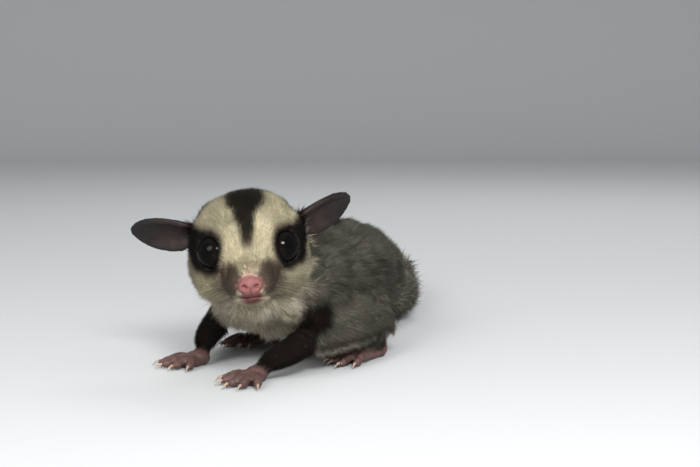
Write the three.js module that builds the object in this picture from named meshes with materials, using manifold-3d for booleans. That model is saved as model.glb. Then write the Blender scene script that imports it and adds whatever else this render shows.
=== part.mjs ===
// A sugar glider that crouches on four feet and turns its head to its left, life size, in millimetres.
// +Z is up, the tail lies towards +Y, and the animal's left side is towards +X.
// The forms reach out to the tips of the short coat, and whatever touches the floor has a small flat at z = 0.

import * as THREE from "three";
import { mergeVertices } from "three/addons/utils/BufferGeometryUtils.js";
import Module from "manifold-3d";

const wasm = await Module();
wasm.setup();

// Driving dimensions
const GAP = 0.3; // left between two parts that meet
const HEAD_WIDTH = 33.5; // over the fur of the cheeks
const TRUNK_WIDTH = 43;
const TRUNK_HEIGHT = 35;
const BELLY_CLEARANCE = 3.5; // from the floor to the belly's fur
const EYE_RADIUS = 5.1;
const EAR_LENGTH = 22;
const EAR_WIDTH = 11.5;
const HAND_LENGTH = 16; // wrist to claw tips
const FOOT_LENGTH = 25; // heel to claw tips
const TAIL_RADIUS = 10.5; // over the fur, at its thickest
const TAIL_LENGTHS = 5; // nodes that the tail is divided into

const vector = (x, y, z) => new THREE.Vector3(x, y, z);
const UP = vector(0, 0, 1);

// Numbers and curves

// A smooth function through [place, value] pairs in rising order of place, level beyond both ends.
function profile(pairs) {
  const slope = (i) => {
    const a = pairs[Math.max(i - 1, 0)];
    const b = pairs[Math.min(i + 1, pairs.length - 1)];
    return (b[1] - a[1]) / (b[0] - a[0]);
  };
  return (t) => {
    if (t <= pairs[0][0]) return pairs[0][1];
    if (t >= pairs.at(-1)[0]) return pairs.at(-1)[1];
    const i = pairs.findIndex(([place]) => place > t) - 1;
    const [t0, v0] = pairs[i];
    const [t1, v1] = pairs[i + 1];
    const span = t1 - t0;
    const u = (t - t0) / span;
    const rise = u * u * (3 - 2 * u);
    const bend0 = u * (1 - u) * (1 - u);
    const bend1 = u * u * (u - 1);
    return v0 + (v1 - v0) * rise + span * (slope(i) * bend0 + slope(i + 1) * bend1);
  };
}

const path = (...points) =>
  new THREE.CatmullRomCurve3(points.map((p) => vector(...p)), false, "centripetal");

const mirrored = ([x, y, z]) => [-x, y, z];

// Closed forms

// A closed geometry as a solid, whichever way its faces point.
function solid(geometry) {
  const bare = new THREE.BufferGeometry();
  bare.setAttribute("position", geometry.getAttribute("position"));
  bare.setIndex(geometry.index);
  const merged = mergeVertices(bare, 1e-4);
  const corners = new Uint32Array(merged.index.array);
  const make = () =>
    new wasm.Manifold(
      new wasm.Mesh({
        numProp: 3,
        vertProperties: new Float32Array(merged.attributes.position.array),
        triVerts: corners,
      }),
    );
  const made = make();
  if (made.volume() > 0) return made;
  for (let i = 0; i < corners.length; i += 3) {
    [corners[i + 1], corners[i + 2]] = [corners[i + 2], corners[i + 1]];
  }
  return make();
}

// A closed form over rings of points that all have the same count, with a point at each end.
function overRings(rings, first, last) {
  const sides = rings[0].length;
  const points = [first, ...rings.flat(), last];
  const faces = [];
  for (let j = 0; j < sides; j++) {
    const next = (j + 1) % sides;
    faces.push(0, 1 + next, 1 + j);
    for (let i = 0; i < rings.length - 1; i++) {
      const a = 1 + i * sides + j;
      const b = 1 + i * sides + next;
      faces.push(a, b, b + sides, a, b + sides, a + sides);
    }
    const start = 1 + (rings.length - 1) * sides;
    faces.push(start + j, start + next, points.length - 1);
  }
  const geometry = new THREE.BufferGeometry().setFromPoints(points);
  geometry.setIndex(faces);
  return solid(geometry);
}

// A limb, trunk or tail along a curve. section(t) gives its half-width and its reach above and below the curve.
// Each end is a dome over the share of the curve that domes names, or flat where from or to cuts it short.
function sweep(curve, section, options = {}) {
  const { rings = 12, sides = 16, domes = [0.2, 0.2], from = 0, to = 1, grow = 0, up = UP } = options;
  const inDome = (t, dome) => (t < dome ? dome * (1 - Math.cos((Math.PI * t) / (2 * dome))) : t);
  const fullness = (t, dome) => (t < dome ? Math.sqrt(1 - (1 - t / dome) ** 2) : 1);
  const ringAt = (t) => {
    const centre = curve.getPointAt(t);
    const along = curve.getTangentAt(t);
    const across = up.clone().cross(along).normalize();
    const over = along.clone().cross(across);
    const { width, top, bottom } = section(t);
    const full = fullness(t, domes[0]) * fullness(1 - t, domes[1]);
    return Array.from({ length: sides }, (_, j) => {
      const angle = (2 * Math.PI * (j + 0.5)) / sides;
      const height = Math.sin(angle) > 0 ? top : bottom;
      return centre
        .clone()
        .addScaledVector(across, Math.cos(angle) * (width * full + grow))
        .addScaledVector(over, Math.sin(angle) * (height * full + grow));
    });
  };
  const places = [];
  const first = from > 0 ? 0 : 1;
  const last = to < 1 ? rings : rings - 1;
  for (let i = first; i <= last; i++) {
    const t = from + ((to - from) * i) / rings;
    places.push(t < 0.5 ? inDome(t, domes[0]) : 1 - inDome(1 - t, domes[1]));
  }
  const end = (t, side) =>
    curve.getPointAt(t).addScaledVector(curve.getTangentAt(t), side * grow);
  const start = from > 0 ? curve.getPointAt(places[0]) : end(0, -1);
  const finish = to < 1 ? curve.getPointAt(places.at(-1)) : end(1, 1);
  return overRings(places.map(ringAt), start, finish);
}

// A section whose reach above and below is a share of its half-width.
const round = (pairs, flatness = 1) => {
  const width = profile(pairs);
  return (t) => ({ width: width(t), top: width(t) * flatness, bottom: width(t) * flatness });
};

const ellipsoid = (at, size, across = 20, down = 14) =>
  solid(new THREE.SphereGeometry(1, across, down).scale(...size).translate(...at));

const union = (...solids) => wasm.Manifold.union(solids);

// The largest of the pieces that a cut leaves.
const largest = (cut) => cut.decompose().reduce((a, b) => (b.volume() > a.volume() ? b : a));

// A part with its neighbours, each grown by the gap, taken out of it.
const clearOf = (part, ...grown) => largest(part.subtract(union(...grown)));

const aboveFloor = (part) => part.trimByPlane([0, 0, 1], 0);

const placed = (part, matrix) => part.transform(matrix.elements);

// Trunk: one swept form from the breast to the rump, cut across into three lengths

const TRUNK_MIDDLE = BELLY_CLEARANCE + TRUNK_HEIGHT / 2;
const trunkCurve = path(
  [3.5, -47, TRUNK_MIDDLE - 0.5],
  [1.5, -30, TRUNK_MIDDLE],
  [0, -4, TRUNK_MIDDLE],
  [0, 18, TRUNK_MIDDLE - 0.5],
  [0, 37, TRUNK_MIDDLE - 6],
);
const trunkHalf = profile([[0, 0.7], [0.2, 0.86], [0.5, 0.97], [0.7, 1], [0.9, 0.86], [1, 0.72]]);
const trunkTop = profile([[0, 0.55], [0.2, 0.74], [0.5, 0.98], [0.72, 1.04], [1, 0.8]]);
const trunkBottom = profile([[0, 0.55], [0.2, 0.72], [0.5, 0.97], [0.9, 0.92], [1, 0.72]]);
const trunkSection = (t) => ({
  width: (trunkHalf(t) * TRUNK_WIDTH) / 2,
  top: (trunkTop(t) * TRUNK_HEIGHT) / 2,
  bottom: (trunkBottom(t) * TRUNK_HEIGHT) / 2,
});
const TRUNK_CUTS = { breast: [0, 0.36], midbody: [0.36, 0.64], rump: [0.64, 1] };
const trunkShape = { sides: 26, domes: [0.16, 0.34] };
const cutGap = (curve) => GAP / 2 / curve.getLength();

function lengthOf(curve, section, [from, to], options) {
  const gap = cutGap(curve);
  return sweep(curve, section, {
    ...options,
    from: from > 0 ? from + gap : 0,
    to: to < 1 ? to - gap : 1,
  });
}

// Head: slices of a field of blended ellipsoids, in a frame of its own.
// There the nose points to -Y, +Z is the crown, and the origin is between the ears and the eyes.

const HEAD_AT = vector(5, -45, 35);
const HEAD_TURN = { yaw: 36, pitch: 6, roll: -4.5 }; // degrees
const headMatrix = new THREE.Matrix4()
  .makeTranslation(HEAD_AT)
  .multiply(new THREE.Matrix4().makeRotationZ(THREE.MathUtils.degToRad(HEAD_TURN.yaw)))
  .multiply(new THREE.Matrix4().makeRotationX(THREE.MathUtils.degToRad(HEAD_TURN.pitch)))
  .multiply(new THREE.Matrix4().makeRotationY(THREE.MathUtils.degToRad(HEAD_TURN.roll)));

const HALF_HEAD = HEAD_WIDTH / 2;
const HEAD_FORMS = [
  { at: [0, 3.5, 1], size: [HALF_HEAD - 0.4, 16, 14.6] }, // braincase
  { at: [0, 12, -4], size: [12, 10, 11] }, // nape
  { at: [0, -8, 2.5], size: [9.5, 8, 8.5] }, // brow
  { at: [0, -15, -3.2], size: [4.4, 9, 4.4] }, // bridge of the nose
  { at: [0, -12.5, -8.2], size: [5.4, 9.2, 4] }, // jaw
  ...[-1, 1].flatMap((side) => [
    { at: [side * 9, -1.5, -5.4], size: [HALF_HEAD - 9.2, 10.5, 8] }, // cheek
    { at: [side * 2.5, -18.6, -5.6], size: [3.3, 4.6, 3.1] }, // whisker pad
  ]),
];
const HEAD_BLEND = 4.5; // how far apart two forms' surfaces still melt into each other

function ellipsoidField([x, y, z], { at, size }) {
  const [px, py, pz] = [(x - at[0]) / size[0], (y - at[1]) / size[1], (z - at[2]) / size[2]];
  const near = Math.hypot(px, py, pz);
  const slope = Math.hypot(px / size[0], py / size[1], pz / size[2]);
  return slope > 0 ? (near * (near - 1)) / slope : -Math.min(...size);
}

function melt(a, b) {
  const near = Math.max(HEAD_BLEND - Math.abs(a - b), 0) / HEAD_BLEND;
  return Math.min(a, b) - (near * near * HEAD_BLEND) / 4;
}

const headField = (point) =>
  HEAD_FORMS.map((form) => ellipsoidField(point, form)).reduce(melt);

// The distance from a point inside, along a direction, to where the head's field reaches a level.
function reach(point, direction, level) {
  let near = 0;
  let far = 40;
  for (let i = 0; i < 26; i++) {
    const middle = (near + far) / 2;
    const at = point.map((value, axis) => value + direction[axis] * middle);
    if (headField(at) < level) near = middle;
    else far = middle;
  }
  return near;
}

function headForm(level, rings = 30, sides = 36) {
  const noseRoot = [0, -16, -5.5];
  const nape = [0, 6, -1];
  const front = noseRoot[1] - reach(noseRoot, [0, -1, 0], level);
  const back = nape[1] + reach(nape, [0, 1, 0], level);
  const axisHeight = profile([[front, -5.5], [-12, -4.5], [-4, -1.5], [6, -1], [back, -1]]);
  const slices = [];
  for (let i = 1; i < rings; i++) {
    const share = (1 - Math.cos((Math.PI * i) / rings)) / 2;
    const y = front + (back - front) * share ** 1.15;
    const centre = [0, y, axisHeight(y)];
    slices.push(
      Array.from({ length: sides }, (_, j) => {
        const angle = (2 * Math.PI * (j + 0.5)) / sides;
        const direction = [Math.cos(angle), 0, Math.sin(angle)];
        const distance = reach(centre, direction, level);
        return vector(centre[0] + direction[0] * distance, y, centre[2] + direction[2] * distance);
      }),
    );
  }
  return overRings(slices, vector(0, front, -5.5), vector(0, back, -1));
}

// Eyes, and the rims of their lids, which follow each ball a little way out along its gaze

const gazeOf = (side) => vector(side * 0.74, -0.65, 0.16).normalize();
const eyeAt = (side) => vector(side * 8.3, -8.4, 1.4);
const LID_OUT = 2.3; // from the ball's centre, along the gaze
const LID_THICK = 0.85;

const eyeball = (side, grow = 0) =>
  ellipsoid(eyeAt(side).toArray(), Array(3).fill(EYE_RADIUS + grow), 16, 10);

function lids(side) {
  const ring = Math.sqrt(EYE_RADIUS ** 2 - LID_OUT ** 2) + LID_THICK * 0.8;
  const rim = new THREE.TorusGeometry(ring, LID_THICK, 6, 18).scale(1, 0.96, 1.1);
  const turn = new THREE.Quaternion().setFromUnitVectors(UP, gazeOf(side));
  const at = eyeAt(side).addScaledVector(gazeOf(side), LID_OUT);
  return solid(rim.applyQuaternion(turn).translate(at.x, at.y, at.z));
}

// The nose pad with its two nostrils, and the line of the mouth that runs round under it

const NOSE_AT = [0, -23.8, -4.6];
const NOSE_SIZE = [3.1, 2.2, 2.5];

function nosePad() {
  const pad = union(
    ellipsoid(NOSE_AT, NOSE_SIZE, 14, 8),
    ellipsoid([0, NOSE_AT[1] + 0.4, NOSE_AT[2] - 1.6], [1.1, 1.3, 1.7], 10, 6),
  );
  const nostrils = [-1, 1].map((side) =>
    ellipsoid([side * 1.45, NOSE_AT[1] - 1.75, NOSE_AT[2] - 0.1], [0.75, 1, 0.6], 8, 5),
  );
  return pad.subtract(union(...nostrils));
}

const MOUTH_HEIGHT = -8.5;
const MOUTH_SLOPE = 7; // degrees
const MOUTH_OPENING = 0.7; // width of the groove between the lips
const LIP_DEPTH = 0.9;

function mouthGroove() {
  const sheet = new THREE.CylinderGeometry(11, 11, MOUTH_OPENING, 24)
    .rotateX(THREE.MathUtils.degToRad(90 - MOUTH_SLOPE))
    .translate(0, -20.5, MOUTH_HEIGHT);
  return solid(sheet).subtract(headForm(-LIP_DEPTH, 16, 20));
}

function makeHead() {
  const sides = [-1, 1];
  const carved = union(headForm(0), ...sides.map(lids))
    .subtract(union(...sides.map((side) => eyeball(side, GAP))))
    .subtract(mouthGroove());
  return largest(carved);
}

// Ears: thin leaves rolled into a cup at the base and open at the tip

const EAR_THICKNESS = 0.9;
const earHalf = profile([[0, 0.56], [0.2, 0.9], [0.42, 1], [0.7, 0.84], [0.88, 0.54], [1, 0.16]]);
const EAR_ALONG = { 1: [0.83, 0.54, 0.13], [-1]: [-0.93, 0.36, -0.03] }; // its right ear lies lower
const earRoll = profile([[0, 1.9], [0.35, 1.05], [1, 0.5]]); // half the angle that it is rolled through

function ear(side) {
  const ROWS = 10;
  const COLUMNS = 8;
  const base = vector(side * 12.6, 6.4, 4.2);
  const along = vector(...EAR_ALONG[side]).normalize();
  const open = vector(side * 0.5, -0.75, -0.32);
  open.addScaledVector(along, -open.dot(along)).normalize();
  const across = open.clone().cross(along);
  const middle = (u, v) => {
    const half = (earHalf(u) * EAR_WIDTH) / 2;
    const roll = earRoll(u);
    const radius = half / Math.min(roll, Math.PI / 2);
    const bendBack = -2.2 * u * u;
    return base
      .clone()
      .addScaledVector(along, u * EAR_LENGTH)
      .addScaledVector(across, radius * Math.sin(v * roll))
      .addScaledVector(open, radius * (Math.cos(roll * 0.6) - Math.cos(v * roll)) + bendBack);
  };
  const face = (offset) => {
    const points = [];
    for (let i = 0; i <= ROWS; i++) {
      for (let j = 0; j <= COLUMNS; j++) {
        const u = i / ROWS;
        const v = (2 * j) / COLUMNS - 1;
        const step = 0.01;
        const down = middle(u + step, v).sub(middle(u - step, v));
        const over = middle(u, v + step).sub(middle(u, v - step));
        const normal = down.cross(over).normalize();
        points.push(middle(u, v).addScaledVector(normal, offset));
      }
    }
    return points;
  };
  const points = [...face(EAR_THICKNESS / 2), ...face(-EAR_THICKNESS / 2)];
  const width = COLUMNS + 1;
  const back = (ROWS + 1) * width;
  const faces = [];
  for (let i = 0; i < ROWS; i++) {
    for (let j = 0; j < COLUMNS; j++) {
      const a = i * width + j;
      const c = a + width;
      faces.push(a, a + 1, c + 1, a, c + 1, c);
      faces.push(back + a, back + c + 1, back + a + 1, back + a, back + c, back + c + 1);
    }
  }
  const rim = [];
  for (let j = 0; j < COLUMNS; j++) rim.push(j);
  for (let i = 0; i < ROWS; i++) rim.push(i * width + COLUMNS);
  for (let j = COLUMNS; j > 0; j--) rim.push(ROWS * width + j);
  for (let i = ROWS; i > 0; i--) rim.push(i * width);
  rim.forEach((a, n) => {
    const b = rim[(n + 1) % rim.length];
    faces.push(a, b + back, b, a, a + back, b + back);
  });
  const geometry = new THREE.BufferGeometry().setFromPoints(points);
  geometry.setIndex(faces);
  return solid(geometry);
}

// Limbs, each length a sweep from joint to joint. A length is cut back by the one that it grows from.

const leftArm = {
  upper: path([8, -26, 22], [14.5, -30, 18], [18, -33.5, 10.5]),
  fore: path([18, -34, 10], [16.5, -43, 7], [12.5, -51, 4.4]),
  wrist: [12.5, -50.5],
  heading: -98, // degrees from +X
};
const rightArm = {
  upper: path([-7, -25, 21], [-11.5, -28, 17.5], [-14.5, -31, 12.5]),
  fore: path([-14.5, -31, 12.2], [-15, -37, 8.5], [-14, -41.5, 4.4]),
  wrist: [-14, -41.5],
  heading: -122,
};
const leftLeg = {
  thigh: path([9, 10, 18], [14, -2, 16], [18.5, -14, 11.5]),
  shin: path([19, -15, 11], [22.5, -9, 7.5], [22.5, -3, 5]),
  heel: [22.5, -4],
  heading: -99,
};
const rightLeg = {
  thigh: path(...[[9, 14, 18], [14, 3, 16], [18.5, -9, 11.5]].map(mirrored)),
  shin: path(...[[19, -10, 11], [22, -3, 7.5], [21.5, 3, 5]].map(mirrored)),
  heel: [-21.5, 2],
  heading: -84,
};
const upperArmSection = round([[0, 7], [0.5, 6.2], [1, 4.9]]);
const foreArmSection = round([[0, 4.8], [0.5, 4.1], [1, 3.1]]);
const thighSection = round([[0, 10], [0.5, 8.8], [1, 6.2]]);
const shinSection = round([[0, 5.6], [0.5, 4.6], [1, 3.4]]);

const limbShape = { rings: 10, sides: 12, domes: [0.25, 0.25] };
const limb = (curve, section, grow = 0) => sweep(curve, section, { ...limbShape, grow });

// Hands and feet: a palm or sole, splayed digits that arch over their knuckles, and small hooked claws

const DIGIT_LOW = 0.7; // height of a digit's centre where it lies on the floor

function digit({ root, angle, length, radius, claw = true }) {
  const turn = THREE.MathUtils.degToRad(angle);
  const at = (distance, height) => [
    root[0] + Math.cos(turn) * distance,
    root[1] + Math.sin(turn) * distance,
    height,
  ];
  const bone = path(
    at(-1.5, 1.9),
    at(length * 0.35, 2.4),
    at(length * 0.72, 1.5),
    at(length, DIGIT_LOW),
  );
  const pieces = [
    sweep(bone, round([[0, radius * 1.2], [0.6, radius * 0.92], [0.92, radius * 1.12], [1, radius]]), {
      rings: 5,
      sides: 6,
      domes: [0.15, 0.1],
    }),
  ];
  if (claw) {
    const hook = path(
      at(length - 0.9, 1.2),
      at(length + 0.6, 1.45),
      at(length + 1.6, 1.0),
      at(length + 2.3, 0.35),
    );
    const clawSection = round([[0, 0.5], [0.6, 0.4], [1, 0.16]]);
    pieces.push(sweep(hook, clawSection, { rings: 4, sides: 4, domes: [0.1, 0.05] }));
  }
  return union(...pieces);
}

// A hand or foot laid out along +X from its wrist or heel, then turned to its heading.
function paw({ at, heading, palm, digits }) {
  const pieces = [...palm.map((p) => ellipsoid(p.at, p.size, 10, 6)), ...digits.map(digit)];
  const matrix = new THREE.Matrix4()
    .makeTranslation(at[0], at[1], 0)
    .multiply(new THREE.Matrix4().makeRotationZ(THREE.MathUtils.degToRad(heading)));
  return aboveFloor(placed(union(...pieces), matrix));
}

// The five fingers are much alike, the fourth the longest. side is 1 on the left hand and -1 on the right.
function hand({ wrist, heading }, side) {
  const palmLength = HAND_LENGTH * 0.42;
  const spread = [-54, -24, -2, 20, 44];
  const share = [0.34, 0.4, 0.43, 0.45, 0.38];
  return paw({
    at: wrist,
    heading,
    palm: [
      { at: [1.2, 0, 2.4], size: [3.4, 2.6, 2.2] },
      { at: [palmLength * 0.62, 0, 1.7], size: [palmLength * 0.55, 3.7, 1.9] },
    ],
    digits: spread.map((angle, i) => ({
      root: [palmLength * (0.78 - 0.22 * Math.abs(i - 2.2) * 0.5), side * (i - 2) * 1.35],
      angle: side * angle,
      length: HAND_LENGTH * share[i],
      radius: 0.95,
    })),
  });
}

// The great toe stands away from the others and has no claw, and the next two are joined for most of their length.
function foot({ heel, heading }, side) {
  const sole = FOOT_LENGTH * 0.5;
  const toes = [
    { spread: -62, share: 0.25, back: 0.42, claw: false, radius: 1.3 },
    { spread: -16, share: 0.3, back: 0.02, radius: 0.85 },
    { spread: -9, share: 0.32, back: 0, radius: 0.85 },
    { spread: 6, share: 0.38, back: 0, radius: 1 },
    { spread: 22, share: 0.34, back: 0.08, radius: 0.95 },
  ];
  return paw({
    at: heel,
    heading,
    palm: [
      { at: [1, 0, 2.6], size: [3.4, 2.8, 2.9] },
      { at: [sole * 0.5, 0, 1.9], size: [sole * 0.52, 3.1, 2.3] },
      { at: [sole * 0.8, 0, 1.6], size: [sole * 0.3, 4, 1.9] },
    ],
    digits: toes.map(({ spread, share, back, claw, radius }, i) => ({
      root: [sole * (0.92 - back), side * (i - 2) * 1.5],
      angle: side * spread,
      length: FOOT_LENGTH * share,
      radius,
      claw,
    })),
  });
}

// Gliding membranes: a furred fold that hangs from each flank, from the wrist back to the ankle

function membrane(side, arm, leg) {
  const ROUND = 10;
  const STATIONS = 14;
  const flip = (x, y, z) => [side * x, y, z];
  const [wx, wy] = arm.wrist;
  const root = path(flip(10, -35, 17), flip(15, -20, 20), flip(16.5, -6, 20.5), flip(15, 8, 17));
  const crest = path(flip(16, -40, 11), flip(22, -28, 14), flip(25.5, -14, 15), flip(24, 3, 12));
  const edge = path(
    [wx + side * 2.6, wy + 5.5, 4.2],
    flip(20.5, -33, 4.6),
    flip(25, -23, 5.6),
    flip(26.8, -11, 7),
    [leg.heel[0] + side * 2.6, leg.heel[1] + 4, 6.4],
  );
  const rings = [];
  for (let i = 0; i <= STATIONS; i++) {
    const s = i / STATIONS;
    const ends = Math.sqrt(Math.max(1 - (2 * s - 1) ** 6, 0.12));
    const ripple = 0.7 * Math.sin(s * Math.PI * 5) * Math.sin(s * Math.PI);
    const sheet = new THREE.QuadraticBezierCurve3(
      root.getPointAt(s),
      crest.getPointAt(s),
      edge.getPointAt(s).add(vector(side * ripple, 0, ripple * 0.6)),
    );
    const ring = [];
    for (let j = 0; j < ROUND; j++) {
      const turn = (2 * Math.PI * (j + 0.5)) / ROUND;
      const u = (1 + Math.cos(turn)) / 2;
      const along = sheet.getTangent(u);
      const outward = along.clone().cross(vector(0, side, 0)).normalize();
      const half = (2.6 - 1.5 * u) * ends;
      ring.push(sheet.getPoint(u).addScaledVector(outward, Math.sin(turn) * half));
    }
    rings.push(ring);
  }
  const middle = (ring) =>
    ring.reduce((sum, p) => sum.add(p), vector(0, 0, 0)).divideScalar(ring.length);
  return aboveFloor(overRings(rings, middle(rings[0]), middle(rings.at(-1))));
}

// Tail: a soft, evenly furred brush along the floor, in lengths cut across

const tailCurve = path(
  [0, 31, 12],
  [-3, 47, 8.4],
  [-18, 74, 9.2],
  [-42, 104, 9],
  [-68, 134, 7.6],
  [-87, 164, 5.6],
  [-95, 179, 4],
);
const tailWidth = profile([[0, 0.72], [0.12, 0.78], [0.35, 1], [0.6, 0.98], [0.85, 0.8], [1, 0.48]]);
const tailSection = (t) => {
  const radius = tailWidth(t) * TAIL_RADIUS;
  return { width: radius, top: radius * 0.94, bottom: radius * 0.94 };
};
const tailShape = { rings: 6, sides: 16, domes: [0.03, 0.16] };

// Assembly: each part is cut clear of those that it grows from

const neckCurve = path([1, -19, 21.5], [3, -33, 28], [4, -43, 33]);
const neckSection = round([[0, 14.5], [0.5, 14.4], [1, 13]]);

function buildParts() {
  const parts = new Map();
  const trunkGrown = sweep(trunkCurve, trunkSection, { ...trunkShape, rings: 22, grow: GAP });
  const skullGrown = headForm(GAP, 30, 36);
  const headGrown = placed(skullGrown, headMatrix);
  const inHead = (part) => placed(part, headMatrix);

  const head = inHead(makeHead());
  parts.set("head", head);
  parts.set("nose", inHead(clearOf(nosePad(), skullGrown)));
  for (const [name, side] of [["left", 1], ["right", -1]]) {
    parts.set(`eye_${name}`, inHead(eyeball(side)));
    parts.set(`ear_${name}`, inHead(clearOf(ear(side), skullGrown)));
  }

  for (const [name, cut] of Object.entries(TRUNK_CUTS)) {
    const length = lengthOf(trunkCurve, trunkSection, cut, { ...trunkShape, rings: 8 });
    parts.set(name, name === "breast" ? clearOf(length, headGrown) : length);
  }
  const neck = limb(neckCurve, neckSection);
  const neckGrown = limb(neckCurve, neckSection, GAP);
  parts.set("neck", clearOf(neck, trunkGrown, headGrown));

  for (const [name, side, arm, leg] of [
    ["left", 1, leftArm, leftLeg],
    ["right", -1, rightArm, rightLeg],
  ]) {
    const grown = {
      upper: limb(arm.upper, upperArmSection, GAP),
      fore: limb(arm.fore, foreArmSection, GAP),
      thigh: limb(leg.thigh, thighSection, GAP),
      shin: limb(leg.shin, shinSection, GAP),
    };
    const trunkAndHead = [trunkGrown, neckGrown, headGrown];
    parts.set(`upper_arm_${name}`, clearOf(limb(arm.upper, upperArmSection), ...trunkAndHead));
    parts.set(
      `forearm_${name}`,
      aboveFloor(clearOf(limb(arm.fore, foreArmSection), grown.upper, ...trunkAndHead)),
    );
    parts.set(`hand_${name}`, clearOf(hand(arm, side), grown.fore, grown.upper, ...trunkAndHead));
    parts.set(`thigh_${name}`, clearOf(limb(leg.thigh, thighSection), trunkGrown, grown.upper));
    parts.set(
      `shin_${name}`,
      aboveFloor(clearOf(limb(leg.shin, shinSection), grown.thigh, trunkGrown)),
    );
    parts.set(`foot_${name}`, clearOf(foot(leg, side), ...Object.values(grown), trunkGrown));
    const limbs = Object.values(grown);
    parts.set(
      `membrane_${name}`,
      clearOf(membrane(side, arm, leg), ...trunkAndHead, ...limbs),
    );
  }

  for (let i = 0; i < TAIL_LENGTHS; i++) {
    const cut = [i / TAIL_LENGTHS, (i + 1) / TAIL_LENGTHS];
    const length = aboveFloor(lengthOf(tailCurve, tailSection, cut, tailShape));
    parts.set(`tail_${i + 1}`, i === 0 ? clearOf(length, trunkGrown) : length);
  }
  return parts;
}

// Materials, with the colours of the photo's animal

const MATERIALS = {
  grey_fur: { color: 0x6e6a61, roughness: 0.9 },
  cream_fur: { color: 0xcfc5a6, roughness: 0.9 },
  dark_fur: { color: 0x2a2622, roughness: 0.9 },
  bare_skin: { color: 0xb98a80, roughness: 0.6 },
  ear_skin: { color: 0x4a3a36, roughness: 0.65 },
  eye: { color: 0x0c0a0c, roughness: 0.05 },
};
const materialOf = (name) => {
  if (name.startsWith("eye")) return MATERIALS.eye;
  if (name.startsWith("ear")) return MATERIALS.ear_skin;
  if (/^(nose|hand|foot)/.test(name)) return MATERIALS.bare_skin;
  if (/^(upper_arm|forearm|membrane)/.test(name)) return MATERIALS.dark_fur;
  if (/^(head|neck|breast)/.test(name)) return MATERIALS.cream_fur;
  return MATERIALS.grey_fur;
};

function meshOf(name, part) {
  const { numProp, vertProperties, triVerts } = part.getMesh();
  const positions = new Float32Array((vertProperties.length / numProp) * 3);
  for (let i = 0; i < positions.length / 3; i++) {
    positions.set(vertProperties.subarray(i * numProp, i * numProp + 3), i * 3);
  }
  const geometry = new THREE.BufferGeometry();
  geometry.setAttribute("position", new THREE.BufferAttribute(positions, 3));
  geometry.setIndex(new THREE.BufferAttribute(triVerts, 1));
  geometry.computeVertexNormals();
  const mesh = new THREE.Mesh(geometry, new THREE.MeshStandardMaterial(materialOf(name)));
  mesh.name = name;
  return mesh;
}

// The group's origin is on the floor, at the middle of everything's outline from above.
const glider = new THREE.Group();
for (const [name, part] of buildParts()) glider.add(meshOf(name, part));
const middle = new THREE.Box3().setFromObject(glider).getCenter(vector(0, 0, 0));
glider.position.set(-middle.x, -middle.y, 0);

export default glider;
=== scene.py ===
"""A crouching sugar glider, life size: skin, coat, eyes, claws, whiskers and a plain studio round them."""

import math
from itertools import product
from types import SimpleNamespace

import bmesh
import bpy
import numpy as np
from bpy.props import FloatProperty, FloatVectorProperty, IntProperty, PointerProperty
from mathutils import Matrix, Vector
from mathutils.bvhtree import BVHTree


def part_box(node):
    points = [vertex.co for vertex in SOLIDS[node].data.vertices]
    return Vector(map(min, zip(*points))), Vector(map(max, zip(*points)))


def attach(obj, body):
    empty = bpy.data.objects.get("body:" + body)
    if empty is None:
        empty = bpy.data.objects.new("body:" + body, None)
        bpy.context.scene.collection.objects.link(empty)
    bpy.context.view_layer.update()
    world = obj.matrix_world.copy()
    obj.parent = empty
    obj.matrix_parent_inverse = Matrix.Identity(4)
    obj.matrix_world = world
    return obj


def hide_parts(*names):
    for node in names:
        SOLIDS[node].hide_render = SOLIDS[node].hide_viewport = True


bl_info = {
    "name": "Sugar Glider",
    "version": (1, 0, 0),
    "blender": (4, 5, 0),
    "location": "3D View > Sidebar > Glider",
    "description": "Skin, coat, eyes, claws and whiskers of a sugar glider, over its solid parts",
    "category": "Object",
}

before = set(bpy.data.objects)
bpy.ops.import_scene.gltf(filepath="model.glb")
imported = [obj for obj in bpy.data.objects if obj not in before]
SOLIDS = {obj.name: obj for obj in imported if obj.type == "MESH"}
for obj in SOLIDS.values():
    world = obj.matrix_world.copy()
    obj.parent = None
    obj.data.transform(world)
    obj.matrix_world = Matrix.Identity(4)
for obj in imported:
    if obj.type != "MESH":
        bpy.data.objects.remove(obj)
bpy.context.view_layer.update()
MM = 0.001

# Places taken from the frame, in millimetres

SIDES = {"left": 1, "right": -1}
TAIL_NODES = sorted(name for name in SOLIDS if name.startswith("tail_"))
EYE_NODES = sorted(name for name in SOLIDS if name.startswith("eye_"))
FLESH_NODES = sorted(name for name in SOLIDS if name not in EYE_NODES)


def centre_of(node):
    low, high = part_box(node)
    return np.array((low + high) / 2) / MM


def unit(vectors):
    """Vectors of length one, along the last axis."""
    length = np.linalg.norm(vectors, axis=-1, keepdims=True)
    return vectors / np.maximum(length, 1e-9)


EYES = {side: centre_of(f"eye_{side}") for side in SIDES}
EYE_RADIUS = (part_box("eye_left")[1].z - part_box("eye_left")[0].z) / 2 / MM
EYE_IN_HEAD = np.array([8.3, -8.4, 1.4])  # the left one, where the nose points to -Y and the crown to +Z
EAR_IN_HEAD = np.array([12.6, 6.4, 4.2])  # the left one's base
NOSE_IN_HEAD = np.array([0.0, -23.8, -4.6])
NOSE_AND_MOUTH = NOSE_IN_HEAD + [0, 1.5, -1.5]  # the middle of both
GAZE_IN_HEAD = unit(np.array([0.74, -0.65, 0.16]))
CORNEA = 0.3  # how far it bulges from the eyeball
FACE_TILT = math.radians(12.5)  # between the head's own level and the photograph's line of sight


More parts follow.
